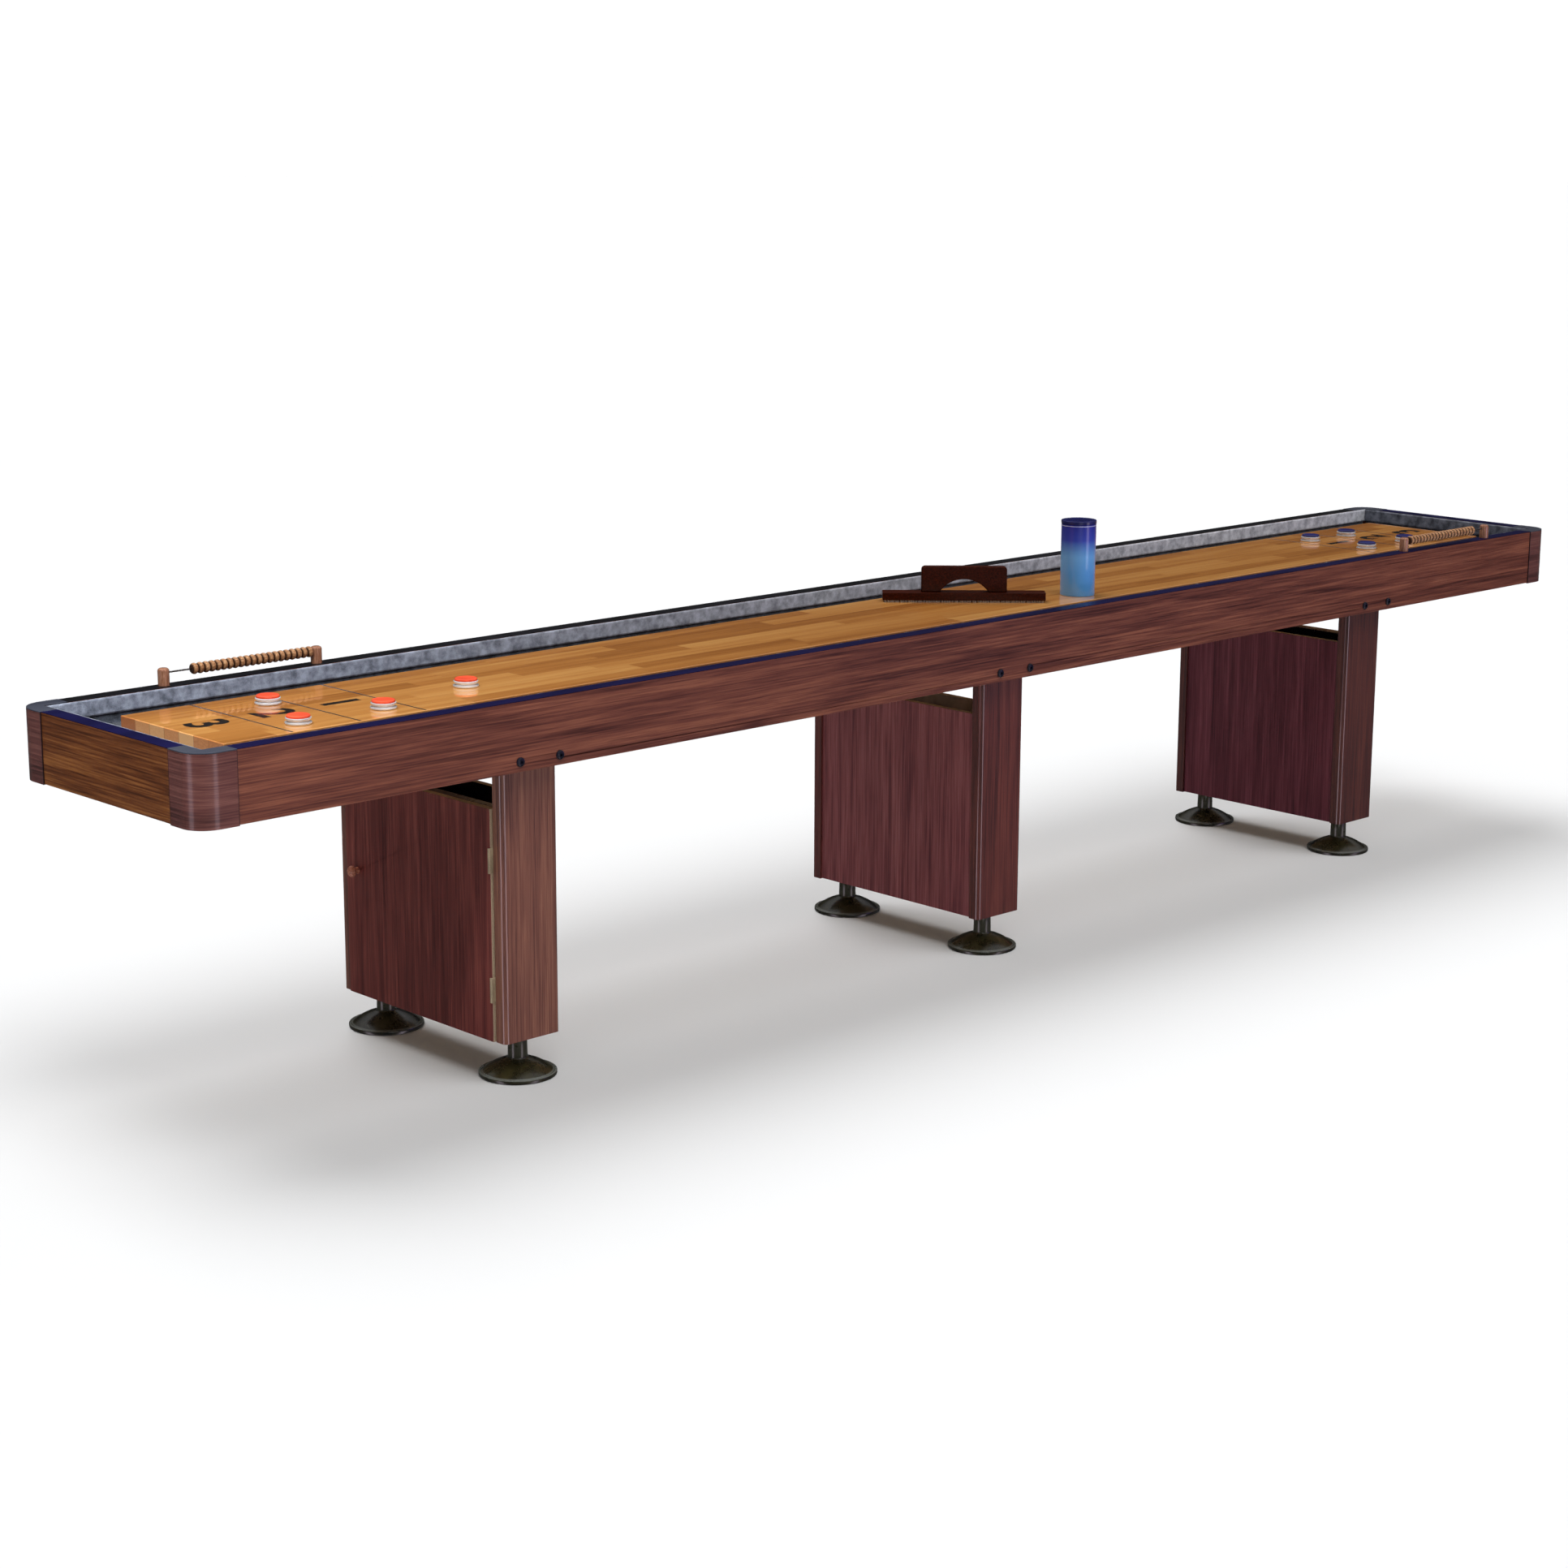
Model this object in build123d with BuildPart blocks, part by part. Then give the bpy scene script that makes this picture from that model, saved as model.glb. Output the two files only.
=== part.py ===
from build123d import *
from math import cos, radians, sin
import os

# Fourteen-foot shuffleboard table on three pedestals, with its play set.
# Millimetres. X runs along the table, -Y is the front side, Z is up from the floor.
# The origin is on the floor under the middle of the table.

os.makedirs("parts", exist_ok=True)

# ---------------------------------------------------------------- driving dimensions

# Cabinet
TABLE_LENGTH = 4267.0
TABLE_WIDTH = 610.0
RAIL_TOP = 776.0
APRON_HEIGHT = 139.0
APRON_THICK = 35.0
CAP_THICK = 1.5
CORNER_LEG = 86.0
CORNER_RADIUS = 50.0
CORNER_PROUD = 2.0
CORNER_DROP = 1.5
CORNER_CAP_THICK = 2.5

# Playing surface and gutter
PLAYFIELD_LENGTH = 3980.0
PLAYFIELD_WIDTH = 350.0
PLAYFIELD_THICK = 32.0
PLAYFIELD_TOP = 756.0
CARPET_THICK = 3.0
FLOOR_THICK = 15.0

# Timbers under the gutter floor
BEAM_HEIGHT = 40.0
BEAM_WIDTH = 45.0
HEAD_BEAM_WIDTH = 90.0
CLEAT_HEIGHT = 30.0
CLEAT_THICK = 25.0
BEAM_STATIONS = (-1750.0, -907.0, -454.0, 454.0, 907.0, 1750.0)

# Pedestals
PEDESTAL_STATIONS = {"left": -1361.0, "middle": 0.0, "right": 1361.0}
PEDESTAL_BOTTOM = 84.0
POST_WIDTH = 139.0
POST_THICK = 28.0
POST_EDGE_RADIUS = 10.0
PANEL_THICK = 15.0
PANEL_RECESS = 4.5
PANEL_TOP = 557.0
BOTTOM_THICK = 18.0
STOP_RAIL_HEIGHT = 30.0
STOP_RAIL_THICK = 20.0

# Apron bolts
BOLT_SPACING = 98.0
BOLT_ABOVE_APRON_BOTTOM = 20.0
BOLT_RADIUS = 5.0
BOLT_HOLE_RADIUS = 5.3
BOLT_HEAD_RADIUS = 9.5
BOLT_HEAD_HEIGHT = 5.0
BOLT_SOCKET_FLATS = 6.0
NUT_FLATS = 17.0
NUT_HEIGHT = 8.0

# Levelling feet
FOOT_Y = 220.0
FOOT_RADIUS = 78.5
FOOT_RIM_HEIGHT = 7.0
FOOT_STEM_RADIUS = 19.0
STUD_RADIUS = 6.0
STUD_ABOVE_STEM = 45.0
STUD_INSIDE_STEM = 30.0
T_NUT_RADIUS = 8.0
T_NUT_FLANGE_RADIUS = 13.0
T_NUT_FLANGE_THICK = 1.5
T_NUT_LENGTH = 16.0
THREAD_CLEARANCE = 0.05

# Storage doors and their hardware
DOOR_GAP = 2.0
DOOR_BOTTOM_GAP = 1.0
DOOR_PROUD = 6.0
DOOR_BACK_GAP = 0.5
HINGE_HEIGHTS = (192.0, 454.0)
HINGE_LENGTH = 50.0
HINGE_KNUCKLE_RADIUS = 3.0
HINGE_MIDDLE_LENGTH = 20.0
HINGE_END_GAP = 0.3
HINGE_PIN_RADIUS = 1.5
HINGE_LEAF_THICK = 0.9
HINGE_LEAF_REACH = 22.0
HINGE_AXIS_OUTSIDE = 3.5
KNOB_Y = 203.0
KNOB_Z = 351.0
KNOB_RADIUS = 12.0
KNOB_NECK_RADIUS = 6.0
KNOB_LENGTH = 22.0
KNOB_SCREW_RADIUS = 2.0
KNOB_SCREW_HEAD_RADIUS = 4.5
CATCH_Z = 490.0

# Abacus scorers
SCORER_CENTRES = ((-1643.5, 1), (1674.5, -1))
SCORER_POST_SPACING = 360.0
SCORER_POST_RADIUS = 11.5
SCORER_POST_HEIGHT = 35.0
SCORER_RAIL_OFFSET = 17.5
ROD_RADIUS = 1.75
ROD_HEIGHT = 25.0
ROD_CLEARANCE = 0.05
BEAD_PITCH = 13.6
BEAD_WIDTH = 13.3
BEAD_RADIUS = 11.3
BEAD_BORE_RADIUS = 2.2
BEADS_NEAR_GAP = 6
BEADS_BEHIND = 15
RIGHT_BEADS_START = 8.5

# Weights (pucks): centre X and Y on the playfield
PUCK_RADIUS = 26.0
PUCK_HEIGHT = 18.0
PUCK_CAP_HEIGHT = 5.0
PUCK_PLACES = {
    "puck_red_1": (-1720.0, 83.0),
    "puck_red_2": (-1786.0, -115.0),
    "puck_red_3": (-1583.0, -105.0),
    "puck_red_4": (-1331.0, -36.0),
    "puck_blue_1": (1576.0, 67.0),
    "puck_blue_2": (1724.0, 59.0),
    "puck_blue_3": (1575.0, -115.0),
    "puck_blue_4": (1753.0, -110.0),
}

# Table brush
BRUSH_CENTRE = (169.0, 13.0)
BRUSH_ANGLE = -43.7
BRUSH_LENGTH = 381.0
BRUSH_DEPTH = 42.0
BRUSH_BLOCK_HEIGHT = 18.5
BRISTLE_LENGTH = 4.5
BRISTLE_INSET = 3.0
HANDLE_LENGTH = 200.0
HANDLE_HEIGHT = 60.0
HANDLE_THICK = 20.0
HANDLE_CORNER_RADIUS = 9.0
ARCH_WIDTH = 114.0
ARCH_HEIGHT = 30.0

# Wax canister
CAN_CENTRE = (443.0, -99.0)
CAN_RADIUS = 41.0
CAN_HEIGHT = 178.0
CAN_LID_HEIGHT = 8.0
CAN_LID_RADIUS = 41.6

# ---------------------------------------------------------------- worked-out places

HALF_LENGTH = TABLE_LENGTH / 2
HALF_WIDTH = TABLE_WIDTH / 2
INNER_X = HALF_LENGTH - APRON_THICK
INNER_Y = HALF_WIDTH - APRON_THICK
SEAM_X = HALF_LENGTH - CORNER_LEG
SEAM_Y = HALF_WIDTH - CORNER_LEG
APRON_BOTTOM = RAIL_TOP - APRON_HEIGHT
CARPET_TOP = PLAYFIELD_TOP - PLAYFIELD_THICK
FLOOR_TOP = CARPET_TOP - CARPET_THICK
FLOOR_BOTTOM = FLOOR_TOP - FLOOR_THICK
POST_INNER_Y = INNER_Y - POST_THICK
PANEL_OUTER = POST_WIDTH / 2 - PANEL_RECESS
PANEL_INNER = PANEL_OUTER - PANEL_THICK
DOOR_OUTER = POST_WIDTH / 2 + DOOR_PROUD
DOOR_INNER = DOOR_OUTER - PANEL_THICK
BOLT_Z = APRON_BOTTOM + BOLT_ABOVE_APRON_BOTTOM
BOLT_XS = [
    station + side * BOLT_SPACING / 2
    for station in PEDESTAL_STATIONS.values()
    for side in (-1, 1)
]
LEFT_STATION = PEDESTAL_STATIONS["left"]
HINGE_X = LEFT_STATION - DOOR_OUTER - HINGE_AXIS_OUTSIDE
HINGE_Y = -(POST_INNER_Y - DOOR_GAP / 2)
SIDES = {"front": -1, "back": 1}
ENDS = {"left": -1, "right": 1}


# ---------------------------------------------------------------- helpers


def save(piece, name):
    """Label one finished piece and write it under its name."""
    piece.label = name
    export_step(piece, f"parts/{name}.step")


def save_group(pieces, name):
    """Write several separate solids as one named group."""
    save(Compound(children=list(pieces)), name)


def board(x_span, y_span, z_span):
    """A square-edged board between low and high X, Y and Z."""
    with BuildPart() as piece:
        with BuildSketch(Plane.XY.offset(z_span[0])):
            with Locations(((x_span[0] + x_span[1]) / 2, (y_span[0] + y_span[1]) / 2)):
                Rectangle(x_span[1] - x_span[0], y_span[1] - y_span[0])
        extrude(amount=z_span[1] - z_span[0])
    return piece.part


def span(side, near, far):
    """Low and high coordinate of a stretch that lies on one side of the centre."""
    return tuple(sorted((side * near, side * far)))


def turned(piece):
    """The same piece half a turn round the table's vertical centre line."""
    return piece.rotate(Axis.Z, 180)


# ---------------------------------------------------------------- playing surface


def playfield_half(side):
    """Half of the butcher-block playfield, from the middle seam to one end."""
    with BuildPart() as half:
        with BuildSketch(Plane.XY.offset(CARPET_TOP)):
            with Locations((side * PLAYFIELD_LENGTH / 4, 0)):
                Rectangle(PLAYFIELD_LENGTH / 2, PLAYFIELD_WIDTH)
        extrude(amount=PLAYFIELD_THICK)
        top_edges = half.edges().group_by(Axis.Z)[-1].sort_by(Axis.X)
        outer_edges = top_edges[:-1] if side < 0 else top_edges[1:]
        fillet(outer_edges, radius=2)
    return half.part


for end, side in ENDS.items():
    save(playfield_half(side), f"playfield_{end}")

save(
    board((-INNER_X, INNER_X), (-INNER_Y, INNER_Y), (FLOOR_BOTTOM, FLOOR_TOP)),
    "gutter_floor",
)
save(
    board((-INNER_X, INNER_X), (-INNER_Y, INNER_Y), (FLOOR_TOP, CARPET_TOP)),
    "gutter_carpet",
)

# Carpet strips glued to the inner faces of the four rails
lining_height = (CARPET_TOP, RAIL_TOP - CAP_THICK)
side_linings = [
    board((-INNER_X, INNER_X), span(side, INNER_Y - CARPET_THICK, INNER_Y), lining_height)
    for side in SIDES.values()
]
end_linings = [
    board(
        span(side, INNER_X - CARPET_THICK, INNER_X),
        (-INNER_Y + CARPET_THICK, INNER_Y - CARPET_THICK),
        lining_height,
    )
    for side in ENDS.values()
]
save_group(side_linings + end_linings, "rail_lining")

# ---------------------------------------------------------------- aprons, corners, rail caps


def side_apron(side):
    """A long apron, drilled for the pedestal bolts."""
    with BuildPart() as apron:
        with BuildSketch(Plane.XY.offset(APRON_BOTTOM)):
            with Locations((0, side * (HALF_WIDTH + INNER_Y) / 2)):
                Rectangle(2 * SEAM_X, APRON_THICK)
        extrude(amount=APRON_HEIGHT - CAP_THICK)
        with BuildSketch(Plane.XZ):
            with Locations(*[(x, BOLT_Z) for x in BOLT_XS]):
                Circle(BOLT_HOLE_RADIUS)
        extrude(amount=HALF_WIDTH + 1, both=True, mode=Mode.SUBTRACT)
    return apron.part


def corner_piece(end_side, side, bottom, top, rim_chamfer):
    """An L-shaped slab that wraps one corner, with a large outer radius."""
    outer_x = HALF_LENGTH + CORNER_PROUD
    outer_y = HALF_WIDTH + CORNER_PROUD
    with BuildPart() as corner:
        with BuildSketch(Plane.XY.offset(bottom)):
            with BuildLine():
                outline = [
                    (SEAM_X, outer_y),
                    (outer_x, outer_y),
                    (outer_x, SEAM_Y),
                    (INNER_X, SEAM_Y),
                    (INNER_X, INNER_Y),
                    (SEAM_X, INNER_Y),
                ]
                Polyline(*[(end_side * x, side * y) for x, y in outline], close=True)
            make_face()
        extrude(amount=top - bottom)
        upright_edges = corner.edges().filter_by(Axis.Z)
        outer_edge = upright_edges.sort_by_distance((end_side * outer_x, side * outer_y))[0]
        fillet(outer_edge, radius=CORNER_RADIUS)
        rim = corner.faces().sort_by(Axis.Z)[-1].edges()
        chamfer(rim, length=rim_chamfer)
    return corner.part


for name, side in SIDES.items():
    save(side_apron(side), f"apron_{name}")

for end, side in ENDS.items():
    end_apron = board(
        span(side, INNER_X, HALF_LENGTH),
        (-SEAM_Y, SEAM_Y),
        (APRON_BOTTOM, RAIL_TOP - CAP_THICK),
    )
    save(end_apron, f"apron_{end}_end")

rail_caps = [
    board((-SEAM_X, SEAM_X), span(side, INNER_Y, HALF_WIDTH), (RAIL_TOP - CAP_THICK, RAIL_TOP))
    for side in SIDES.values()
]
rail_caps += [
    board(span(side, INNER_X, HALF_LENGTH), (-SEAM_Y, SEAM_Y), (RAIL_TOP - CAP_THICK, RAIL_TOP))
    for side in ENDS.values()
]

for end, end_side in ENDS.items():
    for name, side in SIDES.items():
        cap_bottom = RAIL_TOP - CORNER_CAP_THICK + 0.5
        block = corner_piece(end_side, side, APRON_BOTTOM - CORNER_DROP, cap_bottom, 0.4)
        save(block, f"corner_{name}_{end}")
        rail_caps.append(
            corner_piece(end_side, side, cap_bottom, cap_bottom + CORNER_CAP_THICK, 0.8)
        )

save_group(rail_caps, "rail_top_caps")

# ---------------------------------------------------------------- timbers under the floor

cleat_y = INNER_Y - CLEAT_THICK
post_edges = [
    station + side * POST_WIDTH / 2
    for station in PEDESTAL_STATIONS.values()
    for side in (-1, 1)
]
cleat_ends = [-INNER_X] + post_edges + [INNER_X]
timbers = []
for side in SIDES.values():
    for start, stop in zip(cleat_ends[0::2], cleat_ends[1::2]):
        timbers.append(
            board(
                (start, stop),
                span(side, cleat_y, INNER_Y),
                (FLOOR_BOTTOM - CLEAT_HEIGHT, FLOOR_BOTTOM),
            )
        )
for side in ENDS.values():
    timbers.append(
        board(
            span(side, INNER_X - CLEAT_THICK, INNER_X),
            (-cleat_y, cleat_y),
            (FLOOR_BOTTOM - CLEAT_HEIGHT, FLOOR_BOTTOM),
        )
    )
for station in BEAM_STATIONS:
    timbers.append(
        board(
            (station - BEAM_WIDTH / 2, station + BEAM_WIDTH / 2),
            (-cleat_y, cleat_y),
            (FLOOR_BOTTOM - BEAM_HEIGHT, FLOOR_BOTTOM),
        )
    )
for station in PEDESTAL_STATIONS.values():
    timbers.append(
        board(
            (station - HEAD_BEAM_WIDTH / 2, station + HEAD_BEAM_WIDTH / 2),
            (-POST_INNER_Y, POST_INNER_Y),
            (FLOOR_BOTTOM - BEAM_HEIGHT, FLOOR_BOTTOM),
        )
    )
save_group(timbers, "floor_timbers")

# ---------------------------------------------------------------- pedestals


def post(station, side):
    """An upright board bolted behind the apron."""
    with BuildPart() as upright:
        with BuildSketch(Plane.XY.offset(PEDESTAL_BOTTOM)):
            with Locations((station, side * (INNER_Y + POST_INNER_Y) / 2)):
                Rectangle(POST_WIDTH, POST_THICK)
        extrude(amount=FLOOR_BOTTOM - PEDESTAL_BOTTOM)
        outer_corners = upright.edges().filter_by(Axis.Z).sort_by(Axis.Y)
        fillet(outer_corners[:2] if side < 0 else outer_corners[2:], radius=POST_EDGE_RADIUS)
        with BuildSketch(Plane.XZ):
            with Locations(*[(station + s * BOLT_SPACING / 2, BOLT_Z) for s in (-1, 1)]):
                Circle(BOLT_HOLE_RADIUS)
        extrude(amount=HALF_WIDTH, both=True, mode=Mode.SUBTRACT)
    return upright.part


for place, station in PEDESTAL_STATIONS.items():
    for name, side in SIDES.items():
        save(post(station, side), f"post_{place}_{name}")

panel_z = (PEDESTAL_BOTTOM + 1, PANEL_TOP)
panel_y = (-POST_INNER_Y, POST_INNER_Y)
panel_sides = {
    "panel_left_pedestal": (PEDESTAL_STATIONS["left"], 1),
    "panel_middle_pedestal_left": (PEDESTAL_STATIONS["middle"], -1),
    "panel_middle_pedestal_right": (PEDESTAL_STATIONS["middle"], 1),
    "panel_right_pedestal": (PEDESTAL_STATIONS["right"], -1),
}
for name, (station, side) in panel_sides.items():
    low, high = span(side, PANEL_INNER, PANEL_OUTER)
    save(board((station + low, station + high), panel_y, panel_z), name)


def pedestal_bottom(station, left_reach, right_reach):
    """The board between a pedestal's panels, bored for its two levelling feet."""
    with BuildPart() as bottom:
        with BuildSketch(Plane.XY.offset(PEDESTAL_BOTTOM)):
            with Locations((station + (right_reach - left_reach) / 2, 0)):
                Rectangle(left_reach + right_reach, 2 * POST_INNER_Y)
            with Locations((station, -FOOT_Y), (station, FOOT_Y)):
                Circle(T_NUT_RADIUS, mode=Mode.SUBTRACT)
        extrude(amount=BOTTOM_THICK)
    return bottom.part


door_side_reach = DOOR_INNER - DOOR_BACK_GAP
left_bottom = pedestal_bottom(LEFT_STATION, door_side_reach, PANEL_INNER)
middle_bottom = pedestal_bottom(PEDESTAL_STATIONS["middle"], PANEL_INNER, PANEL_INNER)
save_group([left_bottom, middle_bottom, turned(left_bottom)], "pedestal_bottoms")

# Rail that a closed door rests against, across the top of each storage pedestal
stop_rail_back = LEFT_STATION - door_side_reach + STOP_RAIL_THICK
left_stop_rail = board(
    (LEFT_STATION - door_side_reach, stop_rail_back),
    panel_y,
    (PANEL_TOP - STOP_RAIL_HEIGHT, PANEL_TOP),
)
save_group([left_stop_rail, turned(left_stop_rail)], "door_stop_rails")

# ---------------------------------------------------------------- bolts


def apron_bolt(x, side):
    """Button-head bolt with a hex socket, lying along Y through apron and post."""
    outward = Plane(origin=(x, side * HALF_WIDTH, BOLT_Z), x_dir=(1, 0, 0), z_dir=(0, side, 0))
    inward_length = APRON_THICK + POST_THICK + NUT_HEIGHT + 2
    with BuildPart() as bolt:
        with BuildSketch(outward):
            Circle(BOLT_HEAD_RADIUS)
        extrude(amount=BOLT_HEAD_HEIGHT)
        crown = bolt.faces().sort_by(Axis.Y)[-1 if side > 0 else 0].edges()
        fillet(crown, radius=BOLT_HEAD_HEIGHT * 0.8)
        with BuildSketch(outward):
            Circle(BOLT_RADIUS)
        extrude(amount=-inward_length)
        with BuildSketch(outward.offset(BOLT_HEAD_HEIGHT)):
            RegularPolygon(BOLT_SOCKET_FLATS / 2, side_count=6, major_radius=False)
        extrude(amount=-BOLT_HEAD_HEIGHT * 0.7, mode=Mode.SUBTRACT)
    return bolt.part


def bolt_nut(x, side):
    """Hex nut on the inner face of the post."""
    face = Plane(origin=(x, side * POST_INNER_Y, BOLT_Z), x_dir=(1, 0, 0), z_dir=(0, -side, 0))
    with BuildPart() as nut:
        with BuildSketch(face):
            RegularPolygon(NUT_FLATS / 2, side_count=6, major_radius=False)
            Circle(BOLT_RADIUS + THREAD_CLEARANCE, mode=Mode.SUBTRACT)
        extrude(amount=NUT_HEIGHT)
    return nut.part


bolts = [apron_bolt(x, side) for x in BOLT_XS for side in SIDES.values()]
nuts = [bolt_nut(x, side) for x in BOLT_XS for side in SIDES.values()]
save_group(bolts + nuts, "apron_bolts")

# ---------------------------------------------------------------- levelling feet


def foot_base(station, y):
    """Domed glide with a tall tapering stem, bored for its stud."""
    with BuildPart() as base:
        with BuildSketch(Plane.XZ):
            with BuildLine():
                lip_top = FOOT_RIM_HEIGHT + 1.5
                shoulder = (FOOT_RADIUS - 5.5, FOOT_RIM_HEIGHT)
                dome_top = (FOOT_STEM_RADIUS + 4, 33)
                stem_foot = (FOOT_STEM_RADIUS + 1, 39)
                stem_top = (FOOT_STEM_RADIUS, PEDESTAL_BOTTOM)
                stud_hole = PEDESTAL_BOTTOM - STUD_INSIDE_STEM
                Polyline((0, 0), (FOOT_RADIUS - 2, 0), (FOOT_RADIUS, 2), (FOOT_RADIUS, FOOT_RIM_HEIGHT))
                Polyline(
                    (FOOT_RADIUS, FOOT_RIM_HEIGHT),
                    (FOOT_RADIUS - 1.5, lip_top),
                    (FOOT_RADIUS - 3.5, lip_top),
                    shoulder,
                )
                ThreePointArc(shoulder, (FOOT_STEM_RADIUS + 31, 22.5), dome_top)
                ThreePointArc(dome_top, (FOOT_STEM_RADIUS + 1.6, 35), stem_foot)
                Polyline(
                    stem_foot,
                    stem_top,
                    (STUD_RADIUS, PEDESTAL_BOTTOM),
                    (STUD_RADIUS, stud_hole),
                    (0, stud_hole),
                    (0, 0),
                )
            make_face()
        revolve(axis=Axis.Z)
    return base.part.moved(Location((station, y, 0)))


def foot_stud(station, y):
    """Threaded stud that screws the foot into the pedestal."""
    with BuildPart() as stud:
        with BuildSketch(Plane.XY.offset(PEDESTAL_BOTTOM - STUD_INSIDE_STEM)):
            with Locations((station, y)):
                Circle(STUD_RADIUS)
        extrude(amount=STUD_INSIDE_STEM + STUD_ABOVE_STEM)
        chamfer(stud.faces().sort_by(Axis.Z)[-1].edges(), length=1)
    return stud.part


def t_nut(station, y):
    """Flanged threaded insert pressed into the pedestal's bottom board."""
    board_top = PEDESTAL_BOTTOM + BOTTOM_THICK
    with BuildPart() as insert:
        with BuildSketch(Plane.XY.offset(board_top - T_NUT_LENGTH)):
            with Locations((station, y)):
                Circle(T_NUT_RADIUS)
        extrude(amount=T_NUT_LENGTH)
        with BuildSketch(Plane.XY.offset(board_top)):
            with Locations((station, y)):
                Circle(T_NUT_FLANGE_RADIUS)
        extrude(amount=T_NUT_FLANGE_THICK)
        with BuildSketch(Plane.XY.offset(PEDESTAL_BOTTOM)):
            with Locations((station, y)):
                Circle(STUD_RADIUS + THREAD_CLEARANCE)
        extrude(amount=BOTTOM_THICK + T_NUT_FLANGE_THICK, mode=Mode.SUBTRACT)
    return insert.part


t_nuts = []
for place, station in PEDESTAL_STATIONS.items():
    for name, side in SIDES.items():
        foot_y = side * FOOT_Y
        foot = [foot_base(station, foot_y), foot_stud(station, foot_y)]
        save_group(foot, f"foot_{place}_{name}")
        t_nuts.append(t_nut(station, foot_y))
save_group(t_nuts, "foot_t_nuts")

# ---------------------------------------------------------------- storage doors

door_inner_x = LEFT_STATION - DOOR_INNER
door_outer_x = LEFT_STATION - DOOR_OUTER
door_half = POST_INNER_Y - DOOR_GAP
with BuildPart() as door:
    with BuildSketch(Plane.XY.offset(PEDESTAL_BOTTOM + DOOR_BOTTOM_GAP)):
        with Locations(((door_inner_x + door_outer_x) / 2, 0)):
            Rectangle(PANEL_THICK, 2 * door_half)
    extrude(amount=PANEL_TOP - PEDESTAL_BOTTOM - DOOR_BOTTOM_GAP)
    with BuildSketch(Plane.YZ.offset(door_inner_x)):
        with Locations((KNOB_Y, KNOB_Z)):
            Circle(KNOB_SCREW_RADIUS + 0.2)
    extrude(amount=-PANEL_THICK, mode=Mode.SUBTRACT)

with BuildPart() as knob:
    with BuildSketch(Plane.XY):
        with BuildLine():
            Polyline((0, 0), (KNOB_NECK_RADIUS + 1, 0), (KNOB_NECK_RADIUS, 8))
            ThreePointArc((KNOB_NECK_RADIUS, 8), (KNOB_RADIUS - 1.5, 10.5), (KNOB_RADIUS, 14))
            ThreePointArc((KNOB_RADIUS, 14), (KNOB_RADIUS - 2.6, 19.4), (KNOB_RADIUS / 4, KNOB_LENGTH))
            Polyline((KNOB_RADIUS / 4, KNOB_LENGTH), (0, KNOB_LENGTH), (0, 0))
        make_face()
    revolve(axis=Axis.Y)
    with BuildSketch(Plane.XZ):
        Circle(KNOB_SCREW_RADIUS)
    extrude(amount=-KNOB_LENGTH * 0.6, mode=Mode.SUBTRACT)
knob_place = Location((door_outer_x, KNOB_Y, KNOB_Z), (0, 0, 90))
placed_knob = knob.part.moved(knob_place)

with BuildPart() as knob_screw:
    with BuildSketch(Plane.YZ.offset(door_inner_x)):
        with Locations((KNOB_Y, KNOB_Z)):
            Circle(KNOB_SCREW_HEAD_RADIUS)
    extrude(amount=2.5)
    with BuildSketch(Plane.YZ.offset(door_inner_x)):
        with Locations((KNOB_Y, KNOB_Z)):
            Circle(KNOB_SCREW_RADIUS)
    extrude(amount=-PANEL_THICK - KNOB_LENGTH * 0.55)


def hinge_leaf(height, side, lengths):
    """One leaf with its knuckles; side +1 is the door's leaf, -1 the post's."""
    leaf_low = HINGE_Y + (0.1 if side > 0 else -0.1 - HINGE_LEAF_THICK)
    plate_start = HINGE_X + HINGE_KNUCKLE_RADIUS + 0.3
    plate_mid = (plate_start + HINGE_X + HINGE_LEAF_REACH) / 2
    tab_mid = (HINGE_X + plate_start) / 2
    with BuildPart() as leaf:
        with BuildSketch(Plane.XY.offset(height - HINGE_LENGTH / 2)):
            with Locations((plate_mid, leaf_low + HINGE_LEAF_THICK / 2)):
                Rectangle(HINGE_X + HINGE_LEAF_REACH - plate_start, HINGE_LEAF_THICK)
        extrude(amount=HINGE_LENGTH)
        for low, high in lengths:
            with BuildSketch(Plane.XY.offset(height + low)):
                with Locations((HINGE_X, HINGE_Y)):
                    Circle(HINGE_KNUCKLE_RADIUS)
                with Locations((tab_mid, leaf_low + HINGE_LEAF_THICK / 2)):
                    Rectangle(plate_start - HINGE_X, HINGE_LEAF_THICK)
            extrude(amount=high - low)
        bore = HINGE_PIN_RADIUS + (THREAD_CLEARANCE if side > 0 else 0)
        with BuildSketch(Plane.XY.offset(height - HINGE_LENGTH / 2)):
            with Locations((HINGE_X, HINGE_Y)):
                Circle(bore)
        extrude(amount=HINGE_LENGTH, mode=Mode.SUBTRACT)
    return leaf.part


def hinge_pin(height):
    """The pin, held by the post's knuckles."""
    with BuildPart() as pin:
        with BuildSketch(Plane.XY.offset(height - HINGE_LENGTH / 2)):
            with Locations((HINGE_X, HINGE_Y)):
                Circle(HINGE_PIN_RADIUS)
        extrude(amount=HINGE_LENGTH)
    return pin.part


middle_knuckle = [(-HINGE_MIDDLE_LENGTH / 2 + HINGE_END_GAP, HINGE_MIDDLE_LENGTH / 2 - HINGE_END_GAP)]
end_knuckles = [
    (-HINGE_LENGTH / 2, -HINGE_MIDDLE_LENGTH / 2),
    (HINGE_MIDDLE_LENGTH / 2, HINGE_LENGTH / 2),
]
door_leaves = [hinge_leaf(height, 1, middle_knuckle) for height in HINGE_HEIGHTS]
post_leaves = [hinge_leaf(height, -1, end_knuckles) for height in HINGE_HEIGHTS]
post_leaves += [hinge_pin(height) for height in HINGE_HEIGHTS]

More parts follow.
